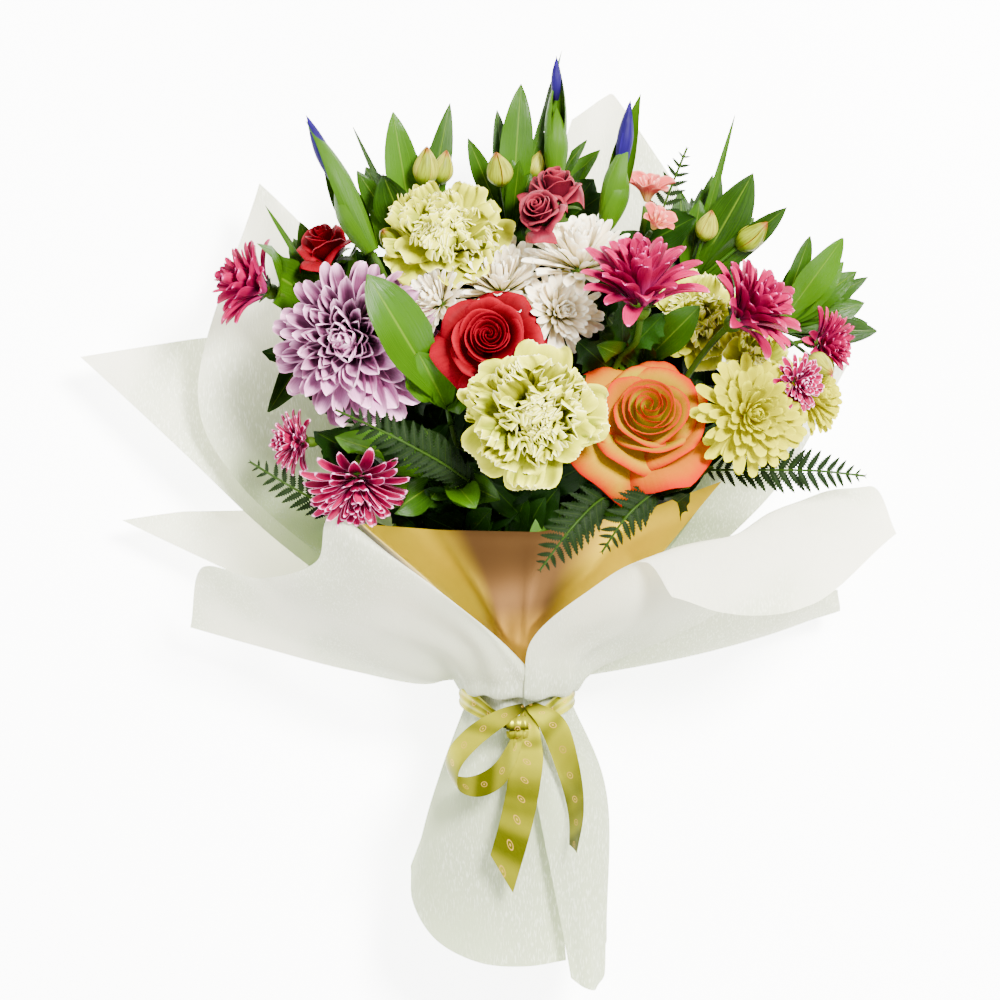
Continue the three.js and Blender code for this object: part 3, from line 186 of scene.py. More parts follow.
class Skin:
    """Thin blades and round stalks gathered into one mesh. Each point has a place on its blade, across
    and along from 0 to 1, and each blade a tone of its own from 0 to 1."""

    def __init__(self):
        self.points, self.faces, self.places, self.tones = [], [], [], []
        self.size = 0

    def add(self, points, faces, places, tone):
        self.points.append(points)
        self.faces.append(faces + self.size)
        self.places.append(places)
        self.tones.append(np.full(len(points), tone))
        self.size += len(points)

    def blade(self, net, thick, tone=0.5):
        """A blade over a net of points, with two faces that meet at its rim."""
        rows, columns = net.shape[:2]
        along = np.gradient(net, axis=0)
        across = np.gradient(net, axis=1)
        normal = np.cross(across, along)
        normal /= np.linalg.norm(normal, axis=2, keepdims=True) + 1e-9
        inner = np.zeros((rows, columns), bool)
        inner[1:-1, 1:-1] = True
        offset = np.where(inner[..., None], normal * thick / 2, 0)
        front = np.arange(rows * columns).reshape(rows, columns)
        back = front.copy()
        back[inner] = rows * columns + np.arange(inner.sum())
        v, u = np.meshgrid(np.linspace(0, 1, rows), np.linspace(0, 1, columns), indexing="ij")
        places = np.stack([u, v], axis=-1)
        points = np.concatenate([(net + offset).reshape(-1, 3), (net - offset)[inner]])
        corners = [(slice(None, -1), slice(None, -1)), (slice(None, -1), slice(1, None)),
                   (slice(1, None), slice(1, None)), (slice(1, None), slice(None, -1))]
        top = np.stack([front[c] for c in corners], axis=-1).reshape(-1, 4)
        bottom = np.stack([back[c] for c in reversed(corners)], axis=-1).reshape(-1, 4)
        places = np.concatenate([places.reshape(-1, 2), places[inner]])
        self.add(points, np.concatenate([top, bottom]), places, tone)

    def stalk(self, path, radii, tone=0.5, sides=8):
        """A round stalk along a path, closed at both ends, with a radius for each point."""
        path = np.asarray(path, float)
        along = np.gradient(path, axis=0)
        along /= np.linalg.norm(along, axis=1, keepdims=True) + 1e-9
        side = np.cross(along[0], [0.0, 0.0, 1.0] if abs(along[0][2]) < 0.9 else [0.0, 1.0, 0.0])
        rings = []
        turns = np.linspace(0, 2 * np.pi, sides, endpoint=False)
        for place, heading, radius in zip(path, along, np.broadcast_to(radii, len(path))):
            side = side - heading * side.dot(heading)
            side /= np.linalg.norm(side) + 1e-9
            other = np.cross(heading, side)
            rings.append(place + radius * (np.outer(np.cos(turns), side) + np.outer(np.sin(turns), other)))
        count = len(path)
        points = np.concatenate([*rings, path[:1], path[-1:]])
        index = np.arange(count * sides).reshape(count, sides)
        after = np.roll(index, -1, axis=1)
        walls = np.stack([index[:-1], after[:-1], after[1:], index[1:]], axis=-1).reshape(-1, 4)
        foot, top, middle = index[0], index[-1], count * sides
        ends = [[middle, foot[(k + 2) % sides], foot[k + 1], foot[k]] for k in range(0, sides, 2)]
        ends += [[middle + 1, top[k], top[k + 1], top[(k + 2) % sides]] for k in range(0, sides, 2)]
        share = np.repeat(np.linspace(0, 1, count), sides)
        across = np.tile(np.linspace(0, 1, sides), count)
        places = np.concatenate([np.stack([across, share], axis=-1), [[0.5, 0.0], [0.5, 1.0]]])
        self.add(points, np.concatenate([walls, np.array(ends)]), places, tone)

    def piece(self, name, surface):
        """The finished mesh as an object in metres, with its material."""
        points = np.concatenate(self.points) * MM
        faces = np.concatenate(self.faces)
        mesh = bpy.data.meshes.new(name)
        mesh.from_pydata(points, [], faces.tolist())
        corners = np.empty(len(mesh.loops), np.int32)
        mesh.loops.foreach_get("vertex_index", corners)
        layer = mesh.uv_layers.new(name="blade")
        layer.data.foreach_set("uv", np.concatenate(self.places)[corners].astype(np.float32).ravel())
        tone = mesh.attributes.new("tone", "FLOAT", "POINT")
        tone.data.foreach_set("value", np.concatenate(self.tones).astype(np.float32))
        mesh.polygons.foreach_set("use_smooth", np.ones(len(mesh.polygons), bool))
        mesh.set_sharp_from_angle(angle=math.radians(100))
        mesh.materials.append(surface)
        made = bpy.data.objects.new(name, mesh)
        bpy.context.scene.collection.objects.link(made)
        return made


def unit(vector):
    """The direction of a vector."""
    vector = np.asarray(vector, float)
    return vector / np.linalg.norm(vector)


def standing(facing):
    """Columns of a frame whose third axis is the way that a bloom faces."""
    facing = unit(facing)
    side = unit(np.cross([0.0, 1.0, 0.0], facing))
    return np.stack([side, np.cross(facing, side), facing], axis=1)


class Bloom:
    """A bloom's place: its receptacle, the way that it faces, its radius and its depth."""

    def __init__(self, radius, deep, middle=None, face=(0, 0, 1), base=None):
        self.radius, self.deep, self.facing = radius, deep, unit(face)
        self.turn = standing(face)
        self.base = spot(middle) - self.facing * deep / 2 if base is None else base
        self.centre = self.base + self.facing * deep / 2
        self.tip = self.base + self.facing * deep

    def placed(self, net):
        """A net made round the +Z axis, set on the receptacle."""
        return net @ self.turn.T + self.base


BLOOMS = {}


def outline(share, root, belly, tip):
    """A petal's half width along it: root at the start, 1 at the belly and tip at the end."""
    low = root + (1 - root) * np.sin(np.pi / 2 * np.clip(share / belly, 0, 1)) ** 0.9
    high = np.clip((share - belly) / (1 - belly), 0, 1)
    return np.where(share < belly, low, tip + (1 - tip) * np.sqrt(np.clip(1 - high ** 2.2, 0, 1)))


PETAL_STEPS = 39


def petal(turn, start, lean, bend, length, half, form=(0.3, 0.7, 0.05), cup=0.3, ruffle=0.0, waves=2.0,
          phase=0.0, rows=9, columns=5, skew=0.0):
    """A petal round the +Z axis, at an angle of turn about it. It leaves start, [distance from the axis,
    height], at an angle of lean above level and bends by bend along its length. form is its outline, cup
    bends its sides up, ruffle waves its free edge, and skew slants its tip to one side."""
    share = 1 - (1 - np.linspace(0, 1, rows)) ** 1.5
    travel = np.linspace(0, 1, PETAL_STEPS + 1)
    angle = lean + bend * travel[:-1]
    reach, height = [
        foot + np.interp(share, travel, np.concatenate([[0], np.cumsum(steps)]) * length / PETAL_STEPS)
        for foot, steps in zip(start, (np.cos(angle), np.sin(angle)))]
    lean_at = lean + bend * share
    out = np.array([math.cos(turn), math.sin(turn), 0.0])
    side = np.array([-math.sin(turn), math.cos(turn), 0.0])
    up = np.array([0.0, 0.0, 1.0])
    width = half * outline(share, *form)
    c = np.linspace(-1, 1, columns)
    normal = -np.sin(lean_at)[:, None] * out + np.cos(lean_at)[:, None] * up
    spine = reach[:, None] * out + height[:, None] * up
    lift = cup * width[:, None] * c ** 2
    lift = lift + ruffle * (share ** 2.5)[:, None] * np.sin(np.pi * waves * c + phase) * (0.3 + 0.7 * abs(c))
    sideways = width[:, None] * c + skew * half * (share ** 2)[:, None]
    return spine[:, None, :] + sideways[..., None] * side + lift[..., None] * normal[:, None, :]


GOLDEN_TURN = math.radians(137.5)
PETAL_THICK = 0.5
CALYX_DEEP = 7.5
CALYX_SWELL = np.array([0.55, 0.8, 1.0, 1.1, 1.1, 1.0, 0.8])


def rose(skin, bloom, petals, seed, rows=15, columns=17):
    """Petals on a spiral: upright and wrapped round each other inside, wide and rolled back outside."""
    draw = np.random.default_rng(seed)
    R, H = bloom.radius, bloom.deep
    v = (1 - (1 - np.linspace(0, 1, rows)) ** 1.35)[:, None]
    c = np.linspace(-1, 1, columns)[None, :]
    lip = np.clip((v - 0.58) / 0.42, 0, 1)
    for k in range(petals):
        # ring is how far out the petal stands, top how high it reaches, span how far round it wraps and
        # curl how far its lip rolls out
        t = k / (petals - 1)
        turn = k * GOLDEN_TURN + draw.normal(0, 0.14)
        ring = R * (0.05 + 0.8 * t ** 1.05) * (1 + 0.05 * draw.normal())
        top = H * (1.02 - 0.05 * (1 - t) ** 3 - 0.5 * t ** 2.4) * (1 + 0.02 * draw.normal())
        span = (2.2 * (1 - t) ** 1.6 + 0.8) * (1 + 0.1 * draw.normal())
        curl = R * (0.015 + 0.26 * t ** 1.5) * (1 + 0.3 * draw.normal())
        shape = np.sin(np.pi * (0.13 + 0.6 * v)) ** 0.5
        angle = turn + span * c * shape
        point = (1 - np.abs(c)) ** 1.4
        reach = ring * (0.26 + 0.74 * np.sin(v * np.pi / 2) ** 0.75) + 0.07 * R * c * (1 - 0.7 * t)
        reach = reach + curl * lip ** 1.5 * (0.7 + 0.55 * point * t)
        droop = (0.12 + 0.26 * t) * H * np.abs(c) ** 2.4 * v
        fold = H * (0.02 + 0.24 * t ** 1.6) * lip ** 2.4 * (1 - 0.25 * point)
        wave = 0.035 * R * t * lip * np.sin(draw.uniform(2, 3.6) * np.pi * c + draw.uniform(0, 6.28))
        height = 0.03 * H + (top - 0.03 * H) * v ** 0.8 - droop - fold + wave
        net = np.stack([reach * np.cos(angle), reach * np.sin(angle), height + 0 * angle], axis=-1)
        tone = 0.25 + 0.6 * draw.uniform() if t > 0.35 else 0.3 * draw.uniform()
        skin.blade(bloom.placed(net), PETAL_THICK, tone)


def calyx(skin, bloom, count, length, half, lean=0.5, bend=-0.9):
    """The green foot of a bloom: a swollen receptacle with sepals spread below the petals."""
    low = bloom.base - bloom.facing * CALYX_DEEP
    radius = max(2.2, bloom.radius * 0.17)
    path = np.linspace(0, 1, 7)[:, None] * (bloom.base + bloom.facing * 1.5 - low) + low
    skin.stalk(path, radius * CALYX_SWELL, 0.6, sides=12)
    for k in range(count):
        net = petal(2 * np.pi * k / count, [radius * 0.6, -1.2], lean, bend, length, half,
                    form=(0.5, 0.35, 0.05), cup=0.2)
        skin.blade(bloom.placed(net), PETAL_THICK, 0.3)


VEIN_TINT = (0.3, 0.24, 0.16)


def petal_shade(root, body, edge, vein=0.25, rim=0.5, vary=0.18, speck=38.0, other=None, line=None,
                line_from=0.93):
    """Petal colour: from the root, over the body, to an edge whose colour starts at rim. vein is how dark
    the fine veins are and speck how many cross a petal, and vary is how much petals differ in brightness.
    Some petals have the other body colour, and line is the colour of a fine rim."""
    root, body, edge, other, line = [code and colour(code) for code in (root, body, edge, other, line)]

    def shade(tree):
        place = tree.node("ShaderNodeUVMap", {"uv_map": "blade"})
        axes = tree.node("ShaderNodeSeparateXYZ", {}, {0: place})
        across, along = axes.out("X"), axes.out("Y")
        tone = tree.node("ShaderNodeAttribute", {"attribute_name": "tone"}, output=2)
        off = (across - 0.5).math("ABSOLUTE") * 2.0
        where = tree.node("ShaderNodeTexCoord", {}, output=3)
        cloud = tree.node("ShaderNodeTexNoise", {}, {"Vector": where, "Scale": 90.0, "Detail": 4.0})
        lines = tree.node("ShaderNodeTexNoise", {"noise_dimensions": "2D"}, {
            "Vector": tree.node("ShaderNodeMapping", {}, {"Vector": place, "Scale": (speck, 2.2, 1.0)}),
            "Scale": 1.0, "Detail": 3.0})
        far = along.math("MAXIMUM", off * 0.92)
        edged = (far + (cloud - 0.5) * 0.22).steps(rim, 1.0)
        rooted = (along + (lines - 0.5) * 0.2).steps(0.02, 0.45)
        own = body if other is None else blend(tree, tone.steps(0.2, 0.8), body, other)
        made = blend(tree, rooted, root, own)
        made = blend(tree, edged, made, edge)
        if line is not None:
            made = blend(tree, far.steps(line_from, line_from + 0.07), made, line)
        made = blend(tree, lines.steps(0.35, 0.75) * vein, made, VEIN_TINT, "MULTIPLY")
        bright = (tone - 0.5) * vary + 1.0
        grey = tree.node("ShaderNodeCombineColor", {}, {"Red": bright, "Green": bright, "Blue": bright})
        return {"Base Color": blend(tree, 1.0, made, grey, "MULTIPLY"), "bump": (lines, 0.35, 0.0006)}

    return shade


# the orange and red rose petals carry painted light: an emission in their own colour lifts their shade
rose_orange_petals = material(
    "rose orange petals",
    petal_shade("#9C7000", "#948000", "#981C00", vein=0.05, rim=0.62, vary=0.1, speck=38.0,
                other="#904C00", line="#980C02", line_from=0.92),
    roughness=0.6, thin=0.12, gloss=0.0, painted_glow=0.5)
rose_red_petals = material(
    "rose red petals",
    petal_shade("#280003", "#580008", "#780014", vein=0.2, rim=0.62, vary=0.3),
    roughness=0.55, thin=0.05, gloss=0.03, painted_glow=0.3)
rose_coral_petals = material(
    "rose coral petals",
    petal_shade("#400912", "#4C0B18", "#801F2F", vein=0.2, rim=0.6),
    roughness=0.5, thin=0.1)


def green_shade(dark, light, rib, blotch=30.0, stripes=34.0, ribs=0.4):
    """Leaf colour: darker and lighter tissue in blotches, with fine lengthwise veins and a midrib."""
    dark, light, rib = colour(dark), colour(light), colour(rib)

    def shade(tree):
        place = tree.node("ShaderNodeUVMap", {"uv_map": "blade"})
        axes = tree.node("ShaderNodeSeparateXYZ", {}, {0: place})
        across = axes.out("X")
        tone = tree.node("ShaderNodeAttribute", {"attribute_name": "tone"}, output=2)
        where = tree.node("ShaderNodeTexCoord", {}, output=3)
        cloud = tree.node("ShaderNodeTexNoise", {}, {"Vector": where, "Scale": blotch, "Detail": 5.0})
        lines = tree.node("ShaderNodeTexNoise", {"noise_dimensions": "2D"}, {
            "Vector": tree.node("ShaderNodeMapping", {}, {"Vector": place, "Scale": (stripes, 1.6, 1.0)}),
            "Scale": 1.0, "Detail": 3.0})
        middle = 1.0 - (across - 0.5).math("ABSOLUTE").steps(0.006, 0.035)
        lightness = (tone * 0.75 + cloud * 0.55 - 0.15).math("MULTIPLY", 1.0, clamp=True)
        made = blend(tree, lightness, dark, light)
        made = blend(tree, lines.steps(0.4, 0.7) * 0.22, made, light)
        made = blend(tree, middle * ribs, made, rib)
        return {"Base Color": made, "bump": (lines + middle * 0.6, 0.4, 0.0008)}

    return shade


calyx_green = material("calyx green", green_shade("#182E03", "#395007", "#506517", ribs=0.2),
                       roughness=0.5, thin=0.1)


def finish(skin, name, surface, slot, *nodes, calyxes=None):
    """A piece that rides with the bouquet and stands for CAD nodes, and its calyx where it has one."""
    made = skin.piece(name, surface)
    if calyxes is not None:
        green = calyxes.piece(name + "_green", calyx_green)
        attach(green, "root")
    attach(made, "root")
    if nodes:
        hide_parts(*nodes)
    return made


# each rose: ((radius, depth, middle, facing), number of petals, seed, material, slot)
ROSES = {
    "orange": ((41, 44, [647, 419, 150], [0.04, 0.42, 0.9]), 26, 3, rose_orange_petals, "rose_orange_petals"),
    "red": ((30, 36, [489, 340, 154], [0, 0.2, 1]), 27, 5, rose_red_petals, "rose_red_petals"),
    "red_back": ((18, 24, [325, 243, 92], [-0.3, 0.8, 0.45]), 16, 8, rose_red_petals, "rose_red_petals"),
    "coral_back": ((18, 26, [555, 188, 106], [0, 0.9, 0.4]), 18, 9, rose_coral_petals, "rose_coral_petals"),
    "coral_front": ((16, 20, [540, 211, 146], [-0.35, 0.5, 0.75]), 16, 12, rose_coral_petals,
                    "rose_coral_petals"),
}
for which, (place, petals, seed, surface, slot) in ROSES.items():
    name = "rose_" + which
    bloom = BLOOMS[name] = Bloom(*place)
    skin, green = Skin(), Skin()
    rose(skin, bloom, petals, seed)
    calyx(green, bloom, 5, bloom.radius * 0.8, bloom.radius * 0.16)
    finish(skin, name + "_bloom", surface, slot, name, calyxes=green)

# The carnations: broad, nearly smooth guard petals outside and a crowd of narrow ones inside, crumpled
# and toothed along their edges. Pale yellow-green, almost white at the rims.
carnation_petals = material(
    "carnation petals",
    petal_shade("#585E00", "#A6A608", "#DAD83C", vein=0.1, rim=0.62, vary=0.2, speck=30.0,
                other="#848C02", line="#F8F6A4"),
    roughness=0.55, thin=0.14)

# each ring of guard petals: how many, then length, lean and half width
GUARD_RINGS = [(5, 1.1232, 0.65, 0.46), (6, 1.0192, 0.95, 0.4)]
CARNATION_THICK = 0.45


def toothed(net, turn, deep, least, outward, rise, draw):
    """A petal's net with teeth cut in its free edge, up to deep, and turned outward and up."""
    count = net.shape[1]
    teeth = deep * np.where(np.arange(count) % 2, 1, -1) * draw.uniform(least, least + 1, count)
    net[-1] += np.outer(teeth, [outward * math.cos(turn), outward * math.sin(turn), rise])
    return net


def carnation(skin, bloom, seed, crowd):
    """Two rings of guard petals, then a crowd of narrow ones, each with a ruffled and toothed edge."""
    draw = np.random.default_rng(seed)
    R, H = bloom.radius, bloom.deep
    for ring, (count, reach, lean, half) in enumerate(GUARD_RINGS):
        for k in range(count):
            turn = 2 * np.pi * (k + 0.5 * ring) / count + draw.normal(0, 0.14)
            net = petal(turn, [0.08 * R, 0.12 * H], lean, -0.7 - 0.4 * draw.random(), reach * R, half * R,
                        form=(0.22, 0.76, 0.66), cup=0.1, ruffle=0.09 * R, waves=draw.uniform(1.4, 2.8),
                        phase=draw.uniform(0, 6.28), rows=12, columns=19, skew=0.2 * draw.normal())
            net = toothed(net, turn, 0.012 * R, 0.2, 1.0, 0.3, draw)
            skin.blade(bloom.placed(net), CARNATION_THICK, draw.uniform(0, 0.6))
    for k in range(crowd):
        t = 1 - k / crowd
        turn = k * GOLDEN_TURN + draw.normal(0, 0.5)
        lean = 1.75 - 0.85 * t + draw.normal(0, 0.2)
        bend = 0.5 * (1 - t) - 0.55 * t + 0.25 * draw.normal()
        length = R * (0.66 + 0.22 * t) * (1 + 0.08 * draw.normal())
        start = [0.42 * R * t * draw.uniform(0.6, 1), 0.22 * H]
        net = petal(turn, start, lean, bend, length, R * draw.uniform(0.2, 0.34), form=(0.3, 0.78, 0.7),
                    cup=draw.uniform(-0.5, 0.7), ruffle=0.13 * R, waves=draw.uniform(2.4, 4.6),
                    phase=draw.uniform(0, 6.28), rows=11, columns=23, skew=0.5 * draw.normal())
        net = toothed(net, turn, 0.02 * R, 0.3, 0.5, 0.8, draw)
        skin.blade(bloom.placed(net), CARNATION_THICK, draw.uniform())


# each carnation: ((radius, depth, middle, facing), seed, number of inner petals)
CARNATIONS = {
    "carnation_front": ((36, 30, [534, 416, 178], [-0.05, 0.05, 1]), 21, 62),
    "carnation_back": ((33, 30, [447, 236, 118], [-0.1, 0.6, 0.8]), 22, 60),
    "carnation_right": ((27, 26, [698, 318, 108], [0.3, 0.3, 0.9]), 23, 30),
    "carnation_lower_right": ((21, 22, [754, 364, 130], [0.3, 0.2, 0.9]), 24, 26),
}
for name, (place, seed, crowd) in CARNATIONS.items():
    bloom = BLOOMS[name] = Bloom(*place)
    skin, green = Skin(), Skin()
    carnation(skin, bloom, seed, crowd)
    calyx(green, bloom, 5, 7, 3, 1.3, 0.2)
    finish(skin, name + "_bloom", carnation_petals, "carnation_petals", name, calyxes=green)

# The chrysanthemums: a large lavender head whose spoon petals curl in, and smaller spray heads of strap
# petals, ivory, magenta with pale edges, and lemon yellow. Petals spiral out from a tight middle.


def head(skin, bloom, count, seed, inner, outer, half, cup, belly=0.7, tip=0.06, crown=0.45, lit_side=None,
         rows=9, columns=7):
    """Petals on a spiral. inner and outer are (lean, bend, length share) of the first and last petals.
    Those that point to the lit side are longer, and painted paler and brighter as painted light."""
    draw = np.random.default_rng(seed)
    R, H = bloom.radius, bloom.deep
    for k in range(count):
        t = math.sqrt((k + 0.5) / count)
        turn = k * GOLDEN_TURN + draw.normal(0, 0.05)
        lean, bend, length = [a + (b - a) * t ** power for a, b, power in zip(inner, outer, (1.5, 1.2, 1.0))]
        lean += draw.normal(0, 0.07)
        bend += draw.normal(0, 0.12)
        start = [0.24 * R * t, H * (crown * (1 - t ** 2) + 0.06)]
        favour = 0 if lit_side is None else (lit_side[0] * math.cos(turn) + lit_side[1] * math.sin(turn)) * t
        net = petal(turn, start, lean, bend, R * length * (1 + 0.06 * draw.normal() + 0.1 * favour),
                    R * half * (0.62 + 0.38 * t) * (1 + 0.1 * draw.normal() + 0.5 * max(favour, 0)),
                    form=(0.35, belly, tip), cup=cup, ruffle=0.02 * R, waves=1.0,
                    phase=draw.uniform(0, 6.28), rows=rows, columns=columns, skew=0.25 * draw.normal())
        # painted light: petals on the lit side get a higher tone, so the paler colour and more brightness
        tone = draw.uniform() if lit_side is None else np.clip(0.4 + 0.65 * favour + 0.12 * draw.normal(), 0, 1)
        skin.blade(bloom.placed(net), PETAL_THICK, tone)


# the lavender's paler other colour goes on the petals of its lit side: painted light
lavender_petals = material(
    "lavender petals",
    petal_shade("#3C1C30", "#643250", "#E4A4CC", vein=0.3, rim=0.6, vary=0.1, speck=30.0,
                other="#BC80AA", line="#FFE8F1"),
    roughness=0.5, thin=0.08)
white_petals = material(
    "white petals",
    petal_shade("#A8A030", "#FFF2D2", "#FFFCEC", vein=0.04, rim=0.6, vary=0.05, speck=30.0),
    roughness=0.5, thin=0.2)


def magenta(name, rim, rim_from):
    """Magenta petals, with the colour of their fine rim and where it starts."""
    shade = petal_shade("#8F2058", "#7B0031", "#9F054B", vein=0.4, rim=0.7, vary=0.35, speck=26.0,
                        other="#980241", line=rim, line_from=rim_from)
    return material(name, shade, roughness=0.42, thin=0.08)


magenta_petals = magenta("magenta petals", "#D8589C", 0.9)
magenta_edged_petals = magenta("magenta edged petals", "#FFACDB", 0.84)
# the yellow petals carry painted light: an emission in their own colour lifts their shade
yellow_petals = material(
    "yellow petals",
    petal_shade("#8A7000", "#A8A200", "#BCB800", vein=0.05, rim=0.66, vary=0.12, speck=30.0),
    roughness=0.6, thin=0.16, gloss=0.0, painted_glow=0.45)

# each kind of head: how many petals, how the first and the last of them stand, and their outline
# the lavender head is painted paler and brighter on its lower right, its lit side, as painted light
LAVENDER = dict(count=150, inner=(1.7, 0.9, 0.4), outer=(0.45, -0.7, 0.94), half=0.115, cup=0.9, tip=0.14,
                lit_side=(0.75, -0.65))
IVORY = dict(count=92, inner=(1.55, 0.5, 0.42), outer=(0.35, -0.25, 1.02), half=0.105, cup=0.35, tip=0.25,
             belly=0.78)
UPRIGHT = dict(count=50, inner=(1.5, 0.2, 0.6), outer=(0.8, -0.75, 1.1), half=0.165, cup=0.5, tip=0.04,
               belly=0.55)
OPEN = dict(count=74, inner=(1.4, 0.5, 0.5), outer=(0.5, -0.7, 1.04), half=0.13, cup=0.5, tip=0.06, belly=0.6)
LEMON = dict(count=110, inner=(1.5, 0.6, 0.4), outer=(0.25, -0.4, 1.04), half=0.125, cup=0.3, tip=0.3,
             belly=0.75)

# each head: ((radius, depth, middle, facing), seed, kind, material)
HEADS = {
    "lavender": ((44, 34, [350, 341, 128], [-0.2, -0.05, 1]), 31, LAVENDER, lavender_petals),
    "white_top": ((30, 26, [580, 254, 130], [0, 0.8, 0.6]), 32, IVORY, white_petals),
    "white_middle": ((28, 22, [500, 282, 126], [-0.1, 0.6, 0.8]), 33, IVORY, white_petals),
    "white_right": ((23, 20, [561, 312, 136], [0.3, 0.1, 0.9]), 34, IVORY, white_petals),
    "white_left": ((20, 18, [433, 300, 134], [-0.6, 0.3, 0.7]), 35, IVORY, white_petals),
    "magenta_middle": ((32, 28, [641, 284, 180], [0, 0.85, 0.5]), 36, UPRIGHT, magenta_petals),
    "magenta_right": ((28, 28, [753, 308, 164], [0.65, 0.5, 0.55]), 37, UPRIGHT, magenta_petals),
    "magenta_left": ((25, 26, [248, 283, 98], [-0.85, 0.3, 0.4]), 38, UPRIGHT, magenta_petals),
    "magenta_low": ((27, 24, [357, 488, 150], [0, -0.75, 0.65]), 39, OPEN, magenta_edged_petals),
    "magenta_low_left": ((17, 18, [292, 442, 112], [-0.9, 0, 0.4]), 40, OPEN, magenta_edged_petals),
    "magenta_far_right": ((19, 18, [829, 344, 106], [0.8, -0.1, 0.5]), 41, OPEN, magenta_petals),
    "magenta_low_right": ((15, 14, [799, 382, 156], [0.5, -0.1, 0.85]), 42, OPEN, magenta_edged_petals),
    "yellow_front": ((28, 22, [752, 415, 160], [0.25, 0, 0.95]), 43, LEMON, yellow_petals),
    "yellow_back": ((19, 16, [815, 396, 112], [0.7, 0.2, 0.6]), 44, LEMON, yellow_petals),
}
for which, (place, seed, kind, surface) in HEADS.items():
    name = "chrysanthemum_" + which
    bloom = BLOOMS[name] = Bloom(*place)
    skin, green = Skin(), Skin()
    head(skin, bloom, seed=seed, **kind)
    calyx(green, bloom, 8, bloom.radius * 0.3, bloom.radius * 0.09, 0.7, -0.2)
    slot = "chrysanthemum_" + which.split("_")[0] + "_petals"
    finish(skin, name + "_head", surface, slot, name, calyxes=green)

# The alstroemerias, lily-like flowers of six petals with fine streaks, and the irises, still rolled to a
# point, each standing in the tip of a green sheath of three leaves.
alstroemeria_petals = material(
    "alstroemeria petals",
    petal_shade("#CCA254", "#C74E49", "#E1897B", vein=0.35, rim=0.7, vary=0.2, speck=16.0),
    roughness=0.45, thin=0.25)
iris_petals = material(
    "iris petals",
    petal_shade("#090124", "#120144", "#1E055E", vein=0.4, rim=0.8, vary=0.4, speck=22.0),
    roughness=0.5, thin=0.12)
iris_green = material("iris green", green_shade("#173401", "#2F4E01", "#4D6E0A", ribs=0.1),
                      roughness=0.4, thin=0.04)


def lily(skin, bloom, seed):
    """Six petals, every other one shorter and narrower, round six stamens."""
    draw = np.random.default_rng(seed)
    R, H = bloom.radius, bloom.deep
    for k in range(6):
        length, half = (0.92, 0.3) if k % 2 else (1.0, 0.4)
        net = petal(np.pi * k / 3, [0.08 * R, 0.1 * H], 1.25, -0.95 - 0.2 * draw.random(),
                    R * 1.28 * length, R * half, form=(0.25, 0.62, 0.05), cup=0.5, ruffle=0.03 * R, waves=1.5,
                    phase=draw.uniform(0, 6), rows=12, columns=7)
        skin.blade(bloom.placed(net), 0.4, draw.uniform())
    for k in range(6):
        tip = np.array([0.35 * math.cos(k), 0.35 * math.sin(k), 0.9]) * [R, R, H]
        stamen = bloom.placed(np.linspace([0, 0, 0.15 * H], tip, 5))
        skin.stalk(stamen, [0.35, 0.3, 0.3, 0.5, 0.7], 0.9, sides=6)


def rolled(skin, bloom, leaves, seed, wrap, tops, full=0.45, open_at_top=0.45):
    """Blades rolled round the axis to a point, as the buds and the sheaths of irises are. tops are the
    heights that they reach, and full is where along them they are widest."""
    draw = np.random.default_rng(seed)
    v = np.linspace(0, 1, 20)[:, None]
    c = np.linspace(-1, 1, 9)[None, :]
    for k in range(leaves):
        turn = 2 * np.pi * k / leaves + 0.6 + draw.normal(0, 0.1)
        swell = 0.45 + 0.55 * np.sin(np.pi * np.clip(v / (2 * full), 0, 0.5))
        narrow = np.clip((v - full) / (1 - full), 0, 1)
        swell = swell * (1 - narrow ** 1.7) + 0.02
        reach = bloom.radius * swell * (1 + 0.08 * k)
        angle = turn + wrap * c * (1 - open_at_top * v) + 0.35 * v
        height = bloom.deep * v * tops[k]
        net = np.stack([reach * np.cos(angle), reach * np.sin(angle), height + 0 * angle], axis=-1)
        skin.blade(bloom.placed(net), PETAL_THICK, draw.uniform())


for name, place, seed in [("alstroemeria_pink", (16, 18, [648, 190, 108], [0.1, 0.9, 0.4]), 51),
                          ("alstroemeria_pale", (12, 14, [657, 222, 124], [0.4, 0.6, 0.6]), 52)]:
    bloom = BLOOMS[name] = Bloom(*place)
    skin = Skin()
    lily(skin, bloom, seed)
    finish(skin, name + "_bloom", alstroemeria_petals, "alstroemeria_petals", name)

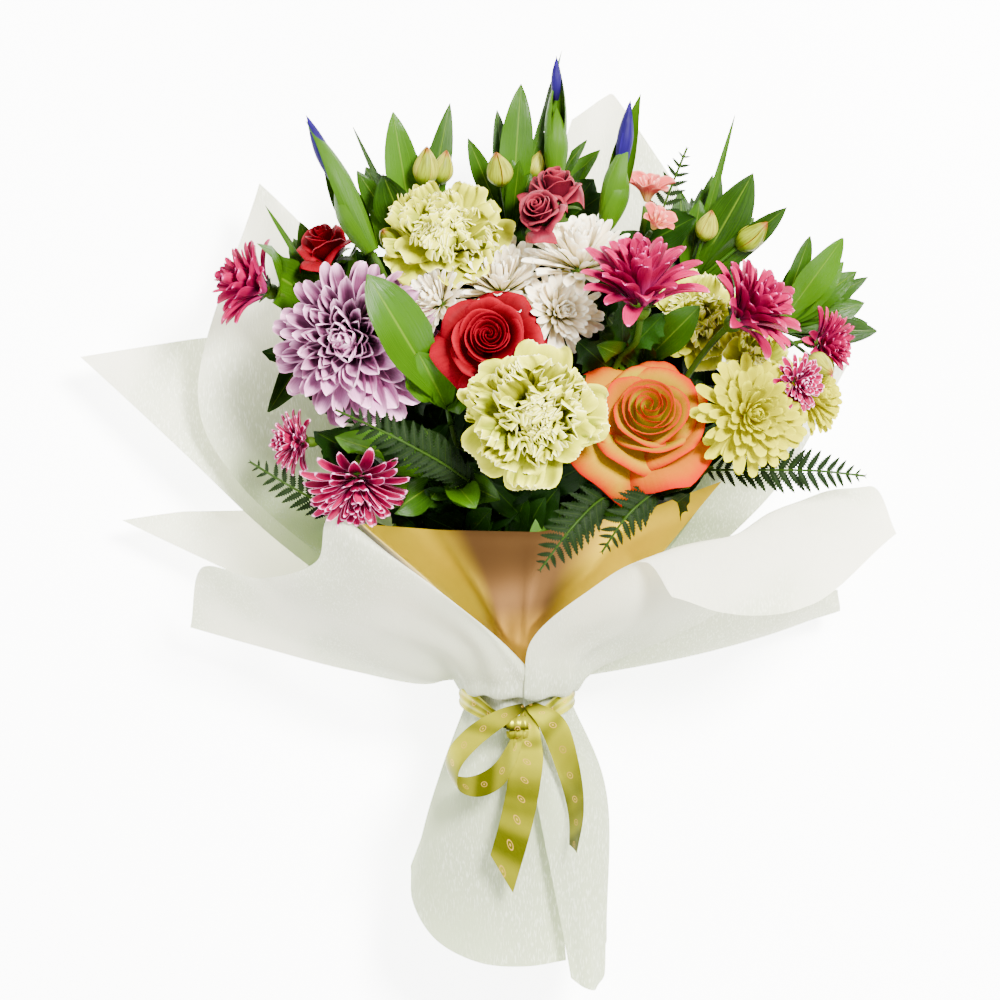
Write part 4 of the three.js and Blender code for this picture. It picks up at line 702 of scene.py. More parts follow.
# each iris: sheath (radius, depth, middle, facing), flower (radius, depth, facing), heights of the
# sheath's leaves
IRISES = {
    "left": ((10, 56, [350, 208, 124], [-0.45, 0.88, 0.05]), (4.2, 32, [-0.42, 0.9, 0.05]),
             (1.5, 1.12, 0.82)),
    "middle": ((7.5, 64, [556, 128, 87], [0, 1, 0.1]), (2.6, 10, [0, 1, 0.1]), (1.16, 0.95, 0.7)),
    "right": ((9, 48, [616, 188, 118], [0.25, 0.95, 0.15]), (4.2, 28, [0.14, 0.97, 0.12]), (1.66, 1.1, 0.82)),
}
IN_THE_SHEATH = 16
FLOWER_TOPS = (1.0, 0.97, 0.93)
for side, (sheath_place, (radius, deep, face), tops) in IRISES.items():
    sheath = BLOOMS["iris_sheath_" + side] = Bloom(*sheath_place)
    BLOOMS["iris_flower_" + side] = Bloom(radius, deep, face=face, base=sheath.tip)
    skin = Skin()
    slim = Bloom(sheath.radius * 0.82, sheath.deep, face=sheath.facing, base=sheath.base)
    rolled(skin, slim, 3, 61, 1.7, tops, 0.5)
    finish(skin, "iris_sheath_" + side + "_leaves", iris_green, "iris_sheath_green", "iris_sheath_" + side)
    skin = Skin()
    low = sheath.tip - sheath.facing * IN_THE_SHEATH
    flower = Bloom(radius * 0.95, deep + IN_THE_SHEATH - 1, face=face, base=low)
    rolled(skin, flower, 3, 62, 1.5, FLOWER_TOPS, 0.5, open_at_top=0.0)
    finish(skin, "iris_flower_" + side + "_petals", iris_petals, "iris_petals", "iris_flower_" + side)

# The leafy sprays: ruscus and alstroemeria leaves, with a few closed buds, fan out from the head of a
# stalk. Each leaf is a blade folded a little along its midrib.
leaf_green = material("leaf green", green_shade("#091D02", "#325701", "#5E771B"),
                      roughness=0.34, thin=0.05, gloss=0.16)
bud_green = material(
    "bud green",
    petal_shade("#3F5902", "#748009", "#804718", vein=0.6, rim=0.8, vary=0.3, speck=9.0,
                other="#8B8C21"),
    roughness=0.4, thin=0.06)

# each spray: where its leaves part, the leaves as (tip, width, rise) and the buds as (tip, radius)
SPRAYS = {
    "leaves_top_left": ([418, 262, 70], [
        ([393, 112, 95], 18, 8), ([383, 174, 104], 22, 12), ([357, 171, 92], 14, 2), ([450, 103, 84], 13, 8),
        ([353, 127, 84], 6, 8), ([404, 176, 60], 12, -4), ([371, 210, 90], 18, 6), ([388, 244, 92], 15, 4)],
        [([427, 146, 104], 7), ([447, 150, 96], 6), ([382, 230, 120], 6)]),
    "leaves_top_centre": ([510, 240, 66], [
        ([521, 84, 84], 17, 8), ([468, 138, 96], 11, 8), ([519, 160, 108], 10, 8), ([497, 110, 74], 10, 2),
        ([587, 140, 82], 9, 8), ([562, 50, 84], 6, 8), ([600, 150, 72], 14, 0)],
        [([496, 152, 116], 7), ([540, 150, 78], 5)]),
    "leaves_top_right": ([686, 290, 76], [
        ([753, 173, 105], 22, 8), ([787, 207, 108], 14, 4), ([700, 200, 95], 15, 8), ([735, 115, 110], 6, 8),
        ([680, 190, 80], 14, 2), ([728, 214, 84], 16, 0)],
        [([768, 222, 106], 7), ([712, 210, 112], 6)]),
    "leaves_right": ([775, 330, 80], [
        ([843, 238, 110], 17, 8), ([868, 277, 88], 10, 3), ([877, 331, 84], 15, 4), ([810, 236, 92], 12, 2),
        ([850, 300, 70], 15, 0)],
        [([833, 374, 134], 7)]),
    "leaves_left": ([334, 310, 64], [
        ([253, 262, 104], 26, 4), ([281, 322, 92], 22, 0), ([265, 205, 96], 6, 2), ([268, 412, 84], 16, 0),
        ([300, 222, 80], 14, 0), ([345, 238, 92], 20, 4), ([374, 250, 84], 20, 2), ([292, 268, 86], 18, 6)],
        []),
    "leaves_centre": ([447, 408, 118], [
        ([367, 274, 166], 28, 26), ([418, 352, 150], 26, 10), ([470, 385, 132], 22, 2)], []),
    "leaves_front": ([448, 474, 104], [
        ([335, 437, 150], 20, 22), ([476, 508, 152], 16, 24), ([392, 512, 146], 18, 20),
        ([425, 428, 138], 16, 8), ([372, 452, 122], 20, 8), ([352, 506, 128], 16, 12),
        ([500, 500, 148], 14, 18)], []),
    "leaves_right_centre": ([640, 366, 104], [
        ([700, 306, 152], 18, 18), ([597, 345, 162], 14, 20), ([596, 300, 104], 16, 4)], []),
    "leaves_front_right": ([592, 486, 84], [
        ([528, 540, 118], 14, 8), ([566, 542, 142], 14, 30), ([690, 488, 140], 18, 24),
        ([636, 520, 144], 16, 28), ([714, 468, 128], 15, 10)], []),
}
TIE_MIDDLE = spot([517, 690, 62])
UP = np.array([0, 0, 1.0])
LEAF_CLEARANCE = 1.6
LEAF_THICK = 0.45
LEAVES_BETWEEN = 16
GRASS_WIDTH = 8
BUD_TOPS = (1.0, 0.97, 1.0, 0.95, 0.98)
PLACES_TRIED = 14


def bent_clear(points, margin, own=None):
    """The points pushed out of every bloom's space, so that leaves and stems bend clear of the petals."""
    points = np.array(points, float)
    for _ in range(3):
        for bloom in BLOOMS.values():
            if bloom is own:
                continue
            away = points - bloom.centre
            deep = away @ bloom.facing
            wide = np.linalg.norm(away - deep[..., None] * bloom.facing, axis=-1)
            share = np.hypot(deep / (bloom.deep * 0.62 + margin), wide / (bloom.radius + margin))
            points = bloom.centre + away / np.clip(share, 0.15, 1)[..., None]
    return points


def bezier(points, shares):
    """Points on a Bezier curve of two, three or four control points."""
    points = np.asarray(points, float)
    shares = np.atleast_1d(shares)[:, None]
    while len(points) > 1:
        points = [a * (1 - shares) + b * shares for a, b in zip(points[:-1], points[1:])]
    return points[0]


def leaf_net(root, end, width, rise, draw, rows=15, columns=7, fold=0.3, belly=0.5, lobes=0):
    """A pointed leaf on a bowed midrib, with its sides raised and its edge a little wavy or lobed."""
    middle = (root + end) / 2 + UP * rise
    shares = np.linspace(0, 1, rows)
    rib = bezier([root, middle, end], shares)
    along = np.gradient(rib, axis=0)
    along /= np.linalg.norm(along, axis=1, keepdims=True)
    side = np.cross(along, UP)
    side /= np.linalg.norm(side, axis=1, keepdims=True)
    roll = draw.normal(0, 0.3)
    lift = np.cross(side, along)
    side = side * math.cos(roll) + lift * math.sin(roll)
    lift = np.cross(side, along)
    swell = np.sin(np.pi * shares ** (math.log(0.5) / math.log(belly))) ** 0.85
    notch = 0.3 * np.abs(np.cos(lobes * np.pi * shares)) if lobes else 0
    half = width / 2 * (0.045 + swell * (1 - notch))
    half[-1] = 0.02 * width
    c = np.linspace(-1, 1, columns)
    phase, waves = draw.uniform(0, 6.28), draw.uniform(1.5, 3)
    raised = fold * half[:, None] * abs(c) ** 1.3
    raised = raised + 0.05 * width * np.outer(np.sin(waves * 2 * np.pi * shares + phase), c ** 2 * np.sign(c))
    return rib[:, None] + (half[:, None] * c)[..., None] * side[:, None] + raised[..., None] * lift[:, None]


PAPER_CORNER = spot([718, 484, 122])
PAPER_FOLD = spot([560, 640, 115])


def in_the_way(net):
    """Whether a blade lies between the viewer and a bloom, or beyond the gold sheet's right tip, where
    only paper shows."""
    if np.any((net[..., 0] > PAPER_CORNER[0] - 6) & (net[..., 1] < PAPER_CORNER[1] + 4)):
        return True
    along, off = PAPER_FOLD - PAPER_CORNER, net - PAPER_CORNER
    if np.any((along[0] * off[..., 1] - along[1] * off[..., 0] > 200) & (net[..., 0] > PAPER_FOLD[0])):
        return True
    return any(
        np.any((np.linalg.norm((net - bloom.centre)[..., :2], axis=-1) < 0.8 * bloom.radius)
               & (net[..., 2] > bloom.centre[2] - 0.3 * bloom.radius))
        for bloom in BLOOMS.values())


def free_leaf(skin, tone, draw, choose, **form):
    """A leaf that has room: choose() names its root, end, width and rise until one is clear of the
    blooms."""
    for _ in range(PLACES_TRIED):
        net = leaf_net(*choose(), draw, **form)
        clear = bent_clear(net, LEAF_CLEARANCE)
        if np.abs(clear - net).max() < 5 and not in_the_way(clear):
            skin.blade(clear, LEAF_THICK, tone)
            return


def spray_foot(root):
    """Where a spray's stalk starts, below the place where its leaves part."""
    return root + unit(TIE_MIDDLE - root) * 10


for index, (name, (hub, leaves, buds)) in enumerate(SPRAYS.items()):
    draw = np.random.default_rng(70 + index)
    root = spot(hub)
    foot = spray_foot(root)
    skin, bud_skin = Skin(), Skin()
    skin.stalk(np.linspace(foot, root + (root - foot) * 0.2, 5), [1.8, 1.6, 1.4, 1.2, 0.8])
    tips = np.array([spot(tip) for tip, _, _ in leaves])
    for tip, width, rise in leaves:
        fuller, belly = (0.95, 0.35) if width < GRASS_WIDTH else (1.1, 0.58)
        net = leaf_net(root, spot(tip), width * fuller, rise, draw, belly=belly)
        skin.blade(bent_clear(net, LEAF_CLEARANCE), LEAF_THICK, draw.uniform())

    def between():
        """A smaller leaf between two of the large ones and a little below them."""
        one, two = draw.choice(len(tips), 2, replace=False)
        end = tips[one] + (tips[two] - tips[one]) * draw.uniform(0.1, 0.9)
        end = root + (end - root) * draw.uniform(0.6, 0.95) - UP * draw.uniform(2, 14)
        return root, end, draw.uniform(13, 21), draw.uniform(0, 8)

    for _ in range(LEAVES_BETWEEN):
        free_leaf(skin, draw.uniform(0, 0.9), draw, between, belly=0.55, columns=5)
    for tip, radius in buds:
        end = spot(tip)
        long = radius * 3.4
        body = Bloom(radius * 0.85, long, face=end - root, base=end - unit(end - root) * long)
        seed = int(radius * 10 + end[0]) % 97
        rolled(bud_skin, body, 5, seed, 0.75, BUD_TOPS, 0.36, open_at_top=0.1)
        route = [root, (root + body.base) / 2 + UP * 5, body.base + body.facing]
        skin.stalk(bezier(route, np.linspace(0, 1, 12)), 1.0, 0.4)
    finish(skin, name + "_spray", leaf_green, "leaf_green", name)
    if buds:
        finish(bud_skin, name + "_buds", bud_green, "leaf_green")

# The ferns: a stiff rib with narrow leaflets in pairs, which follow it by a node tree. Leaflets grow
# shorter towards the tip and the foot.
fern_green = material("fern green", green_shade("#020A01", "#0F2201", "#32410E"),
                      roughness=0.45, thin=0.05)
stem_green = material("stem green", green_shade("#172B04", "#344B0D", "#344B0D", ribs=0.0),
                      roughness=0.5)
# each fern: its width and its rib's places, from foot to tip
FERNS = {
    "fern_left": (28, [[482, 490, 126], [440, 462, 160], [388, 434, 172], [336, 410, 164]]),
    "fern_bottom": (30, [[620, 496, 128], [600, 500, 150], [570, 530, 164], [540, 570, 156]]),
    "fern_bottom_right": (26, [[664, 488, 128], [652, 494, 150], [627, 516, 163], [602, 552, 156]]),
    "fern_right": (28, [[708, 470, 96], [762, 470, 112], [820, 471, 124], [865, 476, 122]]),
    "fern_top_right": (20, [[652, 262, 84], [658, 225, 90], [674, 180, 96], [687, 148, 100]]),
    "fern_low_left": (24, [[364, 520, 82], [325, 505, 100], [288, 485, 112], [250, 462, 112]]),
}
LEAFLET_STEP = 5.6
LEAFLET_SWEEP = 0.68
SWEEP_SPREAD = 0.12
LEAFLET_THICK = 14.0
RIB_RADIUS = 0.7
FULLNESS = 1.12


def one_leaflet(rows=19):
    """A toothed leaflet one metre long and LEAFLET_THICK thick, which the fronds carry scaled down."""
    shares = np.linspace(0, 1, rows)
    half = 0.185 * np.sin(np.pi * shares ** 0.62) ** 0.8 * (1 - 0.5 * (np.arange(rows) % 2)) + 0.012
    c = np.linspace(-1, 1, 5)
    lift = 0.06 * abs(c) * np.sin(np.pi * shares)[:, None] - 0.22 * shares[:, None] ** 2
    net = np.stack(np.broadcast_arrays(shares[:, None], half[:, None] * c, lift), axis=-1)
    skin = Skin()
    skin.blade(net / MM, LEAFLET_THICK)
    return skin.piece("leaflet", fern_green)


def through(points, count):
    """Points on one smooth curve through the places given, at even steps from place to place."""
    points = np.asarray(points, float)
    if len(points) == 2:
        return np.linspace(points[0], points[1], count)
    padded = np.concatenate([[2 * points[0] - points[1]], points, [2 * points[-1] - points[-2]]])
    made = []
    for place in np.linspace(0, len(points) - 1, count):
        k = min(int(place), len(points) - 2)
        four = padded[k:k + 4]
        t = np.maximum(np.linalg.norm(np.diff(four, axis=0), axis=1), 1e-3) ** 0.5
        first = (four[1] - four[0]) / t[0] - (four[2] - four[0]) / (t[0] + t[1]) + (four[2] - four[1]) / t[1]
        last = (four[2] - four[1]) / t[1] - (four[3] - four[1]) / (t[1] + t[2]) + (four[3] - four[2]) / t[2]
        s = place - k
        made.append((2 * s ** 3 - 3 * s ** 2 + 1) * four[1] + (s ** 3 - 2 * s ** 2 + s) * first * t[1]
                    + (3 * s ** 2 - 2 * s ** 3) * four[2] + (s ** 3 - s ** 2) * last * t[1])
    return np.array(made)


def fern_tree():
    """A node tree that sets pairs of leaflets along a curve and gives the curve a round rib."""
    tree = bpy.data.node_groups.new("fern frond", "GeometryNodeTree")
    face = tree.interface
    face.new_socket("Geometry", in_out="INPUT", socket_type="NodeSocketGeometry")
    names = {}
    for label, kind, value in (("Leaflet", "NodeSocketObject", None), ("Step", "NodeSocketFloat", 0.004),
                               ("Width", "NodeSocketFloat", 0.03), ("Seed", "NodeSocketInt", 1),
                               ("Finish", "NodeSocketMaterial", None), ("Rib", "NodeSocketMaterial", None)):
        made = face.new_socket(label, in_out="INPUT", socket_type=kind)
        names[label] = made.identifier
        if value is not None:
            made.default_value = value
    face.new_socket("Geometry", in_out="OUTPUT", socket_type="NodeSocketGeometry")
    build = Tree(tree)
    given = tree.nodes.new("NodeGroupInput")
    value = {socket.name: Socket(build, socket) for socket in given.outputs if socket.name}

    def vector(operation, inputs):
        return build.node("ShaderNodeVectorMath", {"operation": operation}, inputs)

    curve = build.node("GeometryNodeMeshToCurve", {}, {"Mesh": value["Geometry"]})
    spacing = {"Curve": curve, "Length": value["Step"]}
    even = build.node("GeometryNodeResampleCurve", {"mode": "LENGTH"}, spacing)
    share = build.node("GeometryNodeSplineParameter")
    swell = ((share * 0.86 + 0.12) * math.pi).math("SINE")
    size = (swell.math("MAXIMUM", 0.0) ** 0.75) * value["Width"] * 0.5
    tangent = build.node("GeometryNodeInputTangent")
    up = build.node("FunctionNodeInputVector", {"vector": (0.0, 0.0, 1.0)})
    across = vector("CROSS_PRODUCT", {0: tangent, 1: up})
    parts = []
    for side in (1.0, -1.0):
        spread = {2: -SWEEP_SPREAD, 3: SWEEP_SPREAD, "Seed": value["Seed"]}
        wobble = build.node("FunctionNodeRandomValue", {"data_type": "FLOAT"}, spread, output=1)
        out = vector("SCALE", {0: across, "Scale": side})
        swept = vector("SCALE", {0: tangent, "Scale": wobble + LEAFLET_SWEEP})
        turn = build.node("FunctionNodeAxesToRotation", {"primary_axis": "X", "secondary_axis": "Z"},
                          {"Primary Axis": vector("ADD", {0: out, 1: swept}), "Secondary Axis": up})
        item = build.node("GeometryNodeObjectInfo", {"transform_space": "ORIGINAL"},
                          {"Object": value["Leaflet"]})
        parts.append(build.node("GeometryNodeInstanceOnPoints", {}, {
            "Points": even, "Instance": item.out("Geometry"), "Rotation": turn, "Scale": size}))
    circle = build.node("GeometryNodeCurvePrimitiveCircle", {}, {"Resolution": 6, "Radius": RIB_RADIUS * MM})
    rib = build.node("GeometryNodeCurveToMesh", {}, {
        "Curve": even, "Profile Curve": circle, "Fill Caps": True})
    joined = tree.nodes.new("GeometryNodeJoinGeometry")
    for part, surface in ((parts[0], "Finish"), (parts[1], "Finish"), (rib, "Rib")):
        real = build.node("GeometryNodeRealizeInstances", {}, {"Geometry": part})
        dress = {"Geometry": real, "Material": value[surface]}
        dressed = build.node("GeometryNodeSetMaterial", {}, dress)
        tree.links.new(dressed.socket, joined.inputs[0])
    smooth = build.node("GeometryNodeSetShadeSmooth", {}, {"Geometry": Socket(build, joined.outputs[0])})
    end = tree.nodes.new("NodeGroupOutput")
    tree.links.new(smooth.socket, end.inputs[0])
    return tree, names


FERN_TREE, FERN_INPUTS = fern_tree()
leaflet = one_leaflet()


def run_nodes(name, path, tree, names, **values):
    """The piece that a node tree makes along a path, as a plain mesh."""
    line = bpy.data.meshes.new(name)
    line.from_pydata(np.asarray(path) * MM, [(k, k + 1) for k in range(len(path) - 1)], [])
    carrier = bpy.data.objects.new(name, line)
    bpy.context.scene.collection.objects.link(carrier)
    modifier = carrier.modifiers.new("nodes", "NODES")
    modifier.node_group = tree
    for label, value in values.items():
        modifier[names[label]] = value
    carrier.update_tag()
    seen = carrier.evaluated_get(bpy.context.evaluated_depsgraph_get())
    mesh = bpy.data.meshes.new_from_object(seen)
    carrier.modifiers.clear()
    carrier.data = mesh
    return carrier


for index, (name, (width, route)) in enumerate(FERNS.items()):
    path = [bent_clear(p, LEAF_CLEARANCE) for p in through(spot(route), 40)]
    frond = run_nodes(name + "_frond", path, FERN_TREE, FERN_INPUTS, Leaflet=leaflet,
                      Step=LEAFLET_STEP * MM, Width=width * FULLNESS * MM, Seed=80 + index,
                      Finish=fern_green, Rib=stem_green)
    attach(frond, "root")
    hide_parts(name)
bpy.data.objects.remove(leaflet)

# The stems: each leaves its bloom's calyx, bends clear of the other blooms, passes the tie in its own
# place and spreads again below it, down to cut ends inside the paper. The tie gathers them into a ring
# about an axis that rises a little towards the blooms.
AXIS_TILT = 0.24
TIE_AXIS = np.array([0, math.cos(AXIS_TILT), math.sin(AXIS_TILT)])
TIE_FRONT = np.array([0, -math.sin(AXIS_TILT), math.cos(AXIS_TILT)])
TIE_HALF = 7
RIGHT = np.array([1.0, 0, 0])
STEM_RADIUS = 1.9
STEM_SPACING = 4.5
STEMS_ACROSS = 14.8
TIE_SHARE = (0.09, 0.14)
SETTLING_ROUNDS = 80
STEMS_BELOW = 138
STEM_CLEARANCE = 2.8
NECK = 9
BRANCH_FROM = 0.42
BRANCH_POINTS = 12
# the pieces on a stem of their own, and those on a branch of another's
ALONE = [
    "rose_orange", "rose_red", "rose_red_back", "rose_coral_back", "carnation_front", "carnation_back",
    "carnation_right", "carnation_lower_right", "chrysanthemum_lavender", "chrysanthemum_white_top",
    "chrysanthemum_white_middle", "chrysanthemum_magenta_middle", "chrysanthemum_magenta_right",
    "chrysanthemum_magenta_left", "chrysanthemum_magenta_low", "chrysanthemum_yellow_front",
    "alstroemeria_pink", "iris_sheath_left", "iris_sheath_middle", "iris_sheath_right",
    "leaves_top_left", "leaves_top_centre", "leaves_top_right", "leaves_left", "leaves_front",
    "leaves_front_right", "fern_left", "fern_bottom", "fern_right", "fern_top_right",
]
BRANCHED = {
    "rose_coral_front": "rose_coral_back", "chrysanthemum_white_right": "chrysanthemum_white_top",
    "chrysanthemum_white_left": "chrysanthemum_white_middle",
    "chrysanthemum_magenta_low_left": "chrysanthemum_magenta_low",
    "chrysanthemum_magenta_far_right": "chrysanthemum_magenta_right",
    "chrysanthemum_magenta_low_right": "chrysanthemum_magenta_right",
    "chrysanthemum_yellow_back": "chrysanthemum_yellow_front", "alstroemeria_pale": "alstroemeria_pink",
    "leaves_centre": "rose_red", "leaves_right_centre": "rose_orange",
    "leaves_right": "carnation_lower_right", "fern_bottom_right": "fern_bottom",
    "fern_low_left": "chrysanthemum_magenta_low",
}


def seat_of(name):
    """Where a stem ends, the way that it faces there, and the bloom on it."""
    if name in BLOOMS:
        return BLOOMS[name].base, BLOOMS[name].facing, BLOOMS[name]
    if name in SPRAYS:
        foot = spray_foot(spot(SPRAYS[name][0]))
        return foot, unit(foot - TIE_MIDDLE), None
    first, second = spot(FERNS[name][1][:2])
    return first * 1.25 - second * 0.25, unit(second - first), None


def tie_places(seats):
    """Where each stem passes the tie: in the order of the heads above it, and settled side by side."""
    offsets = np.array(seats) - TIE_MIDDLE
    places = np.stack([offsets[:, 0] * TIE_SHARE[0], offsets @ TIE_FRONT * TIE_SHARE[1] - 6], axis=1)
    for _ in range(SETTLING_ROUNDS):
        for a in range(len(places)):
            for b in range(len(places)):
                apart = np.linalg.norm(places[a] - places[b])
                if a == b or apart >= STEM_SPACING:
                    continue
                push = (places[a] - places[b]) * (STEM_SPACING - apart) * 0.4 / max(apart, 1e-6)
                places[a] += push
                places[b] -= push
            reach = np.linalg.norm(places[a])
            if reach > STEMS_ACROSS:
                places[a] *= STEMS_ACROSS / reach
    return places


def stem_at(place, along, spread=1.0):
    """A point on a stem near the tie, by its place across the tie and its distance along it."""
    return TIE_MIDDLE + place[0] * spread * RIGHT + place[1] * spread * TIE_FRONT + along * TIE_AXIS


seats = {name: seat_of(name) for name in [*ALONE, *BRANCHED]}
places = tie_places([seats[name][0] for name in ALONE])
stem_skin = Skin()
paths = {}
for name, place in zip(ALONE, places):
    seat, facing, own = seats[name]
    neck = seat - facing * NECK
    to = stem_at(place, TIE_HALF)
    reach = np.linalg.norm(neck - to)
    arriving = unit(stem_at(place, TIE_HALF + 1, 1.04) - to)
    upper = bezier([neck, neck - facing * reach * 0.16 - UP * reach * 0.12, to + arriving * reach * 0.3, to],
                   np.linspace(0, 1, 21))
    upper = np.array([p if k < 2 else bent_clear(p, STEM_CLEARANCE, own if k < 8 else None)
                      for k, p in enumerate(upper)])
    smooth = upper.copy()
    smooth[1:-1] = (upper[:-2] + 2 * upper[1:-1] + upper[2:]) / 4
    paths[name] = smooth
    below = stem_at(place, -STEMS_BELOW, 1.6) + TIE_FRONT * 18
    whole = np.concatenate([[seat - facing * 1.0], smooth, np.linspace(stem_at(place, 0), below, 8)])
    stem_skin.stalk(whole, STEM_RADIUS, np.random.default_rng(len(paths)).uniform(), 8)
for name, parent in BRANCHED.items():
    seat, facing, own = seats[name]
    neck = seat - facing * NECK
    trunk = paths[parent]
    joint = trunk[int(len(trunk) * BRANCH_FROM)]
    path = bezier([neck, neck - facing * 12, joint + unit(neck - joint) * 10, joint],
                  np.linspace(0, 1, BRANCH_POINTS))
    path = np.array([p if k < 2 or k == BRANCH_POINTS - 1 else bent_clear(p, STEM_CLEARANCE, own)
                     for k, p in enumerate(path)])
    stem_skin.stalk(np.concatenate([[seat - facing * 1.0], path]), STEM_RADIUS * 0.75, 0.5, 8)
finish(stem_skin, "stem_bundle", stem_green, "stem_green", "stems")

# The leaves on the flower stems fill the bunch between the blooms, dark and dense: lobed ones on the
# chrysanthemums, plain ones on the rest. Each springs from its stem. Their dark green is partly the
# leaves' own colour and partly painted shade, the shade that fills the gaps between the blooms.
shaded_stem_leaf_green = material("stem leaf green in painted shade", green_shade("#030E02", "#173603", "#365410"),
                           roughness=0.4, thin=0.03)
LEAVES_PER_STEM = 14
for index, name in enumerate(ALONE):
    draw = np.random.default_rng(200 + index)
    path = paths[name]
    outward = unit(path[0] - path[-1])
    skin = Skin()
    lobed = name.startswith("chrysanthemum")

    def on_the_stem():
        """A leaf that springs from the stem and points towards the blooms or to one side."""
        root = path[int(draw.uniform(0.03, 0.55) * (len(path) - 1))]
        heading = outward * draw.uniform(0.2, 1.1) + RIGHT * draw.normal(0, 0.75)
        heading = heading + UP * draw.uniform(-0.1, 0.7)
        end = root + unit(heading) * draw.uniform(28, 56)
        end[2] = max(end[2], 40)
        return root, end, draw.uniform(14, 26), draw.uniform(0, 10)

    for _ in range(LEAVES_PER_STEM):
        free_leaf(skin, draw.uniform(0, 0.8), draw, on_the_stem, rows=21 if lobed else 13, columns=5,
                  lobes=5 if lobed else 0)
    finish(skin, "leaves_on_" + name, shaded_stem_leaf_green, "leaf_green")

# The papers: gold foil inside the front, and seven pale, slightly translucent sheets with a fine embossed
# grain. Each passes the tie in a ring and opens above it. The lower and the front ones open below it too,
# and the front ones bulge in a hem over the tie.
PAPER = 0.35
# how straight a sheet's cut edge is: at 0 it curves through its places, at 1 it runs straight between them
STRAIGHTNESS = {"front_left": 0.1, "front_right": -0.25, "gold": 1.0}
# how far from the tie the pleats are deepest, and how far they reach from there
PLEATED = (45, 40)
PLEAT = 1.1
PLEATS = 11
# how far from the tie a sheet starts to wave, and over what distance the waves grow
WAVED = (70, 130)
WAVE = 1.7
# the radius of each ring of sheets round the tie
RING = {"gold": 21.5, "inner": 23.4, "back": 25.4, "outer": 27.5, "front_left": 29.6, "front_right": 31.7}
HEM = 8.5
FLARE = 1.16
FLARE_END = 12
FLARE_STEP = 0.9
OUTER_RISE = 8
RIPPLES = (2, 3.3, 5.1)

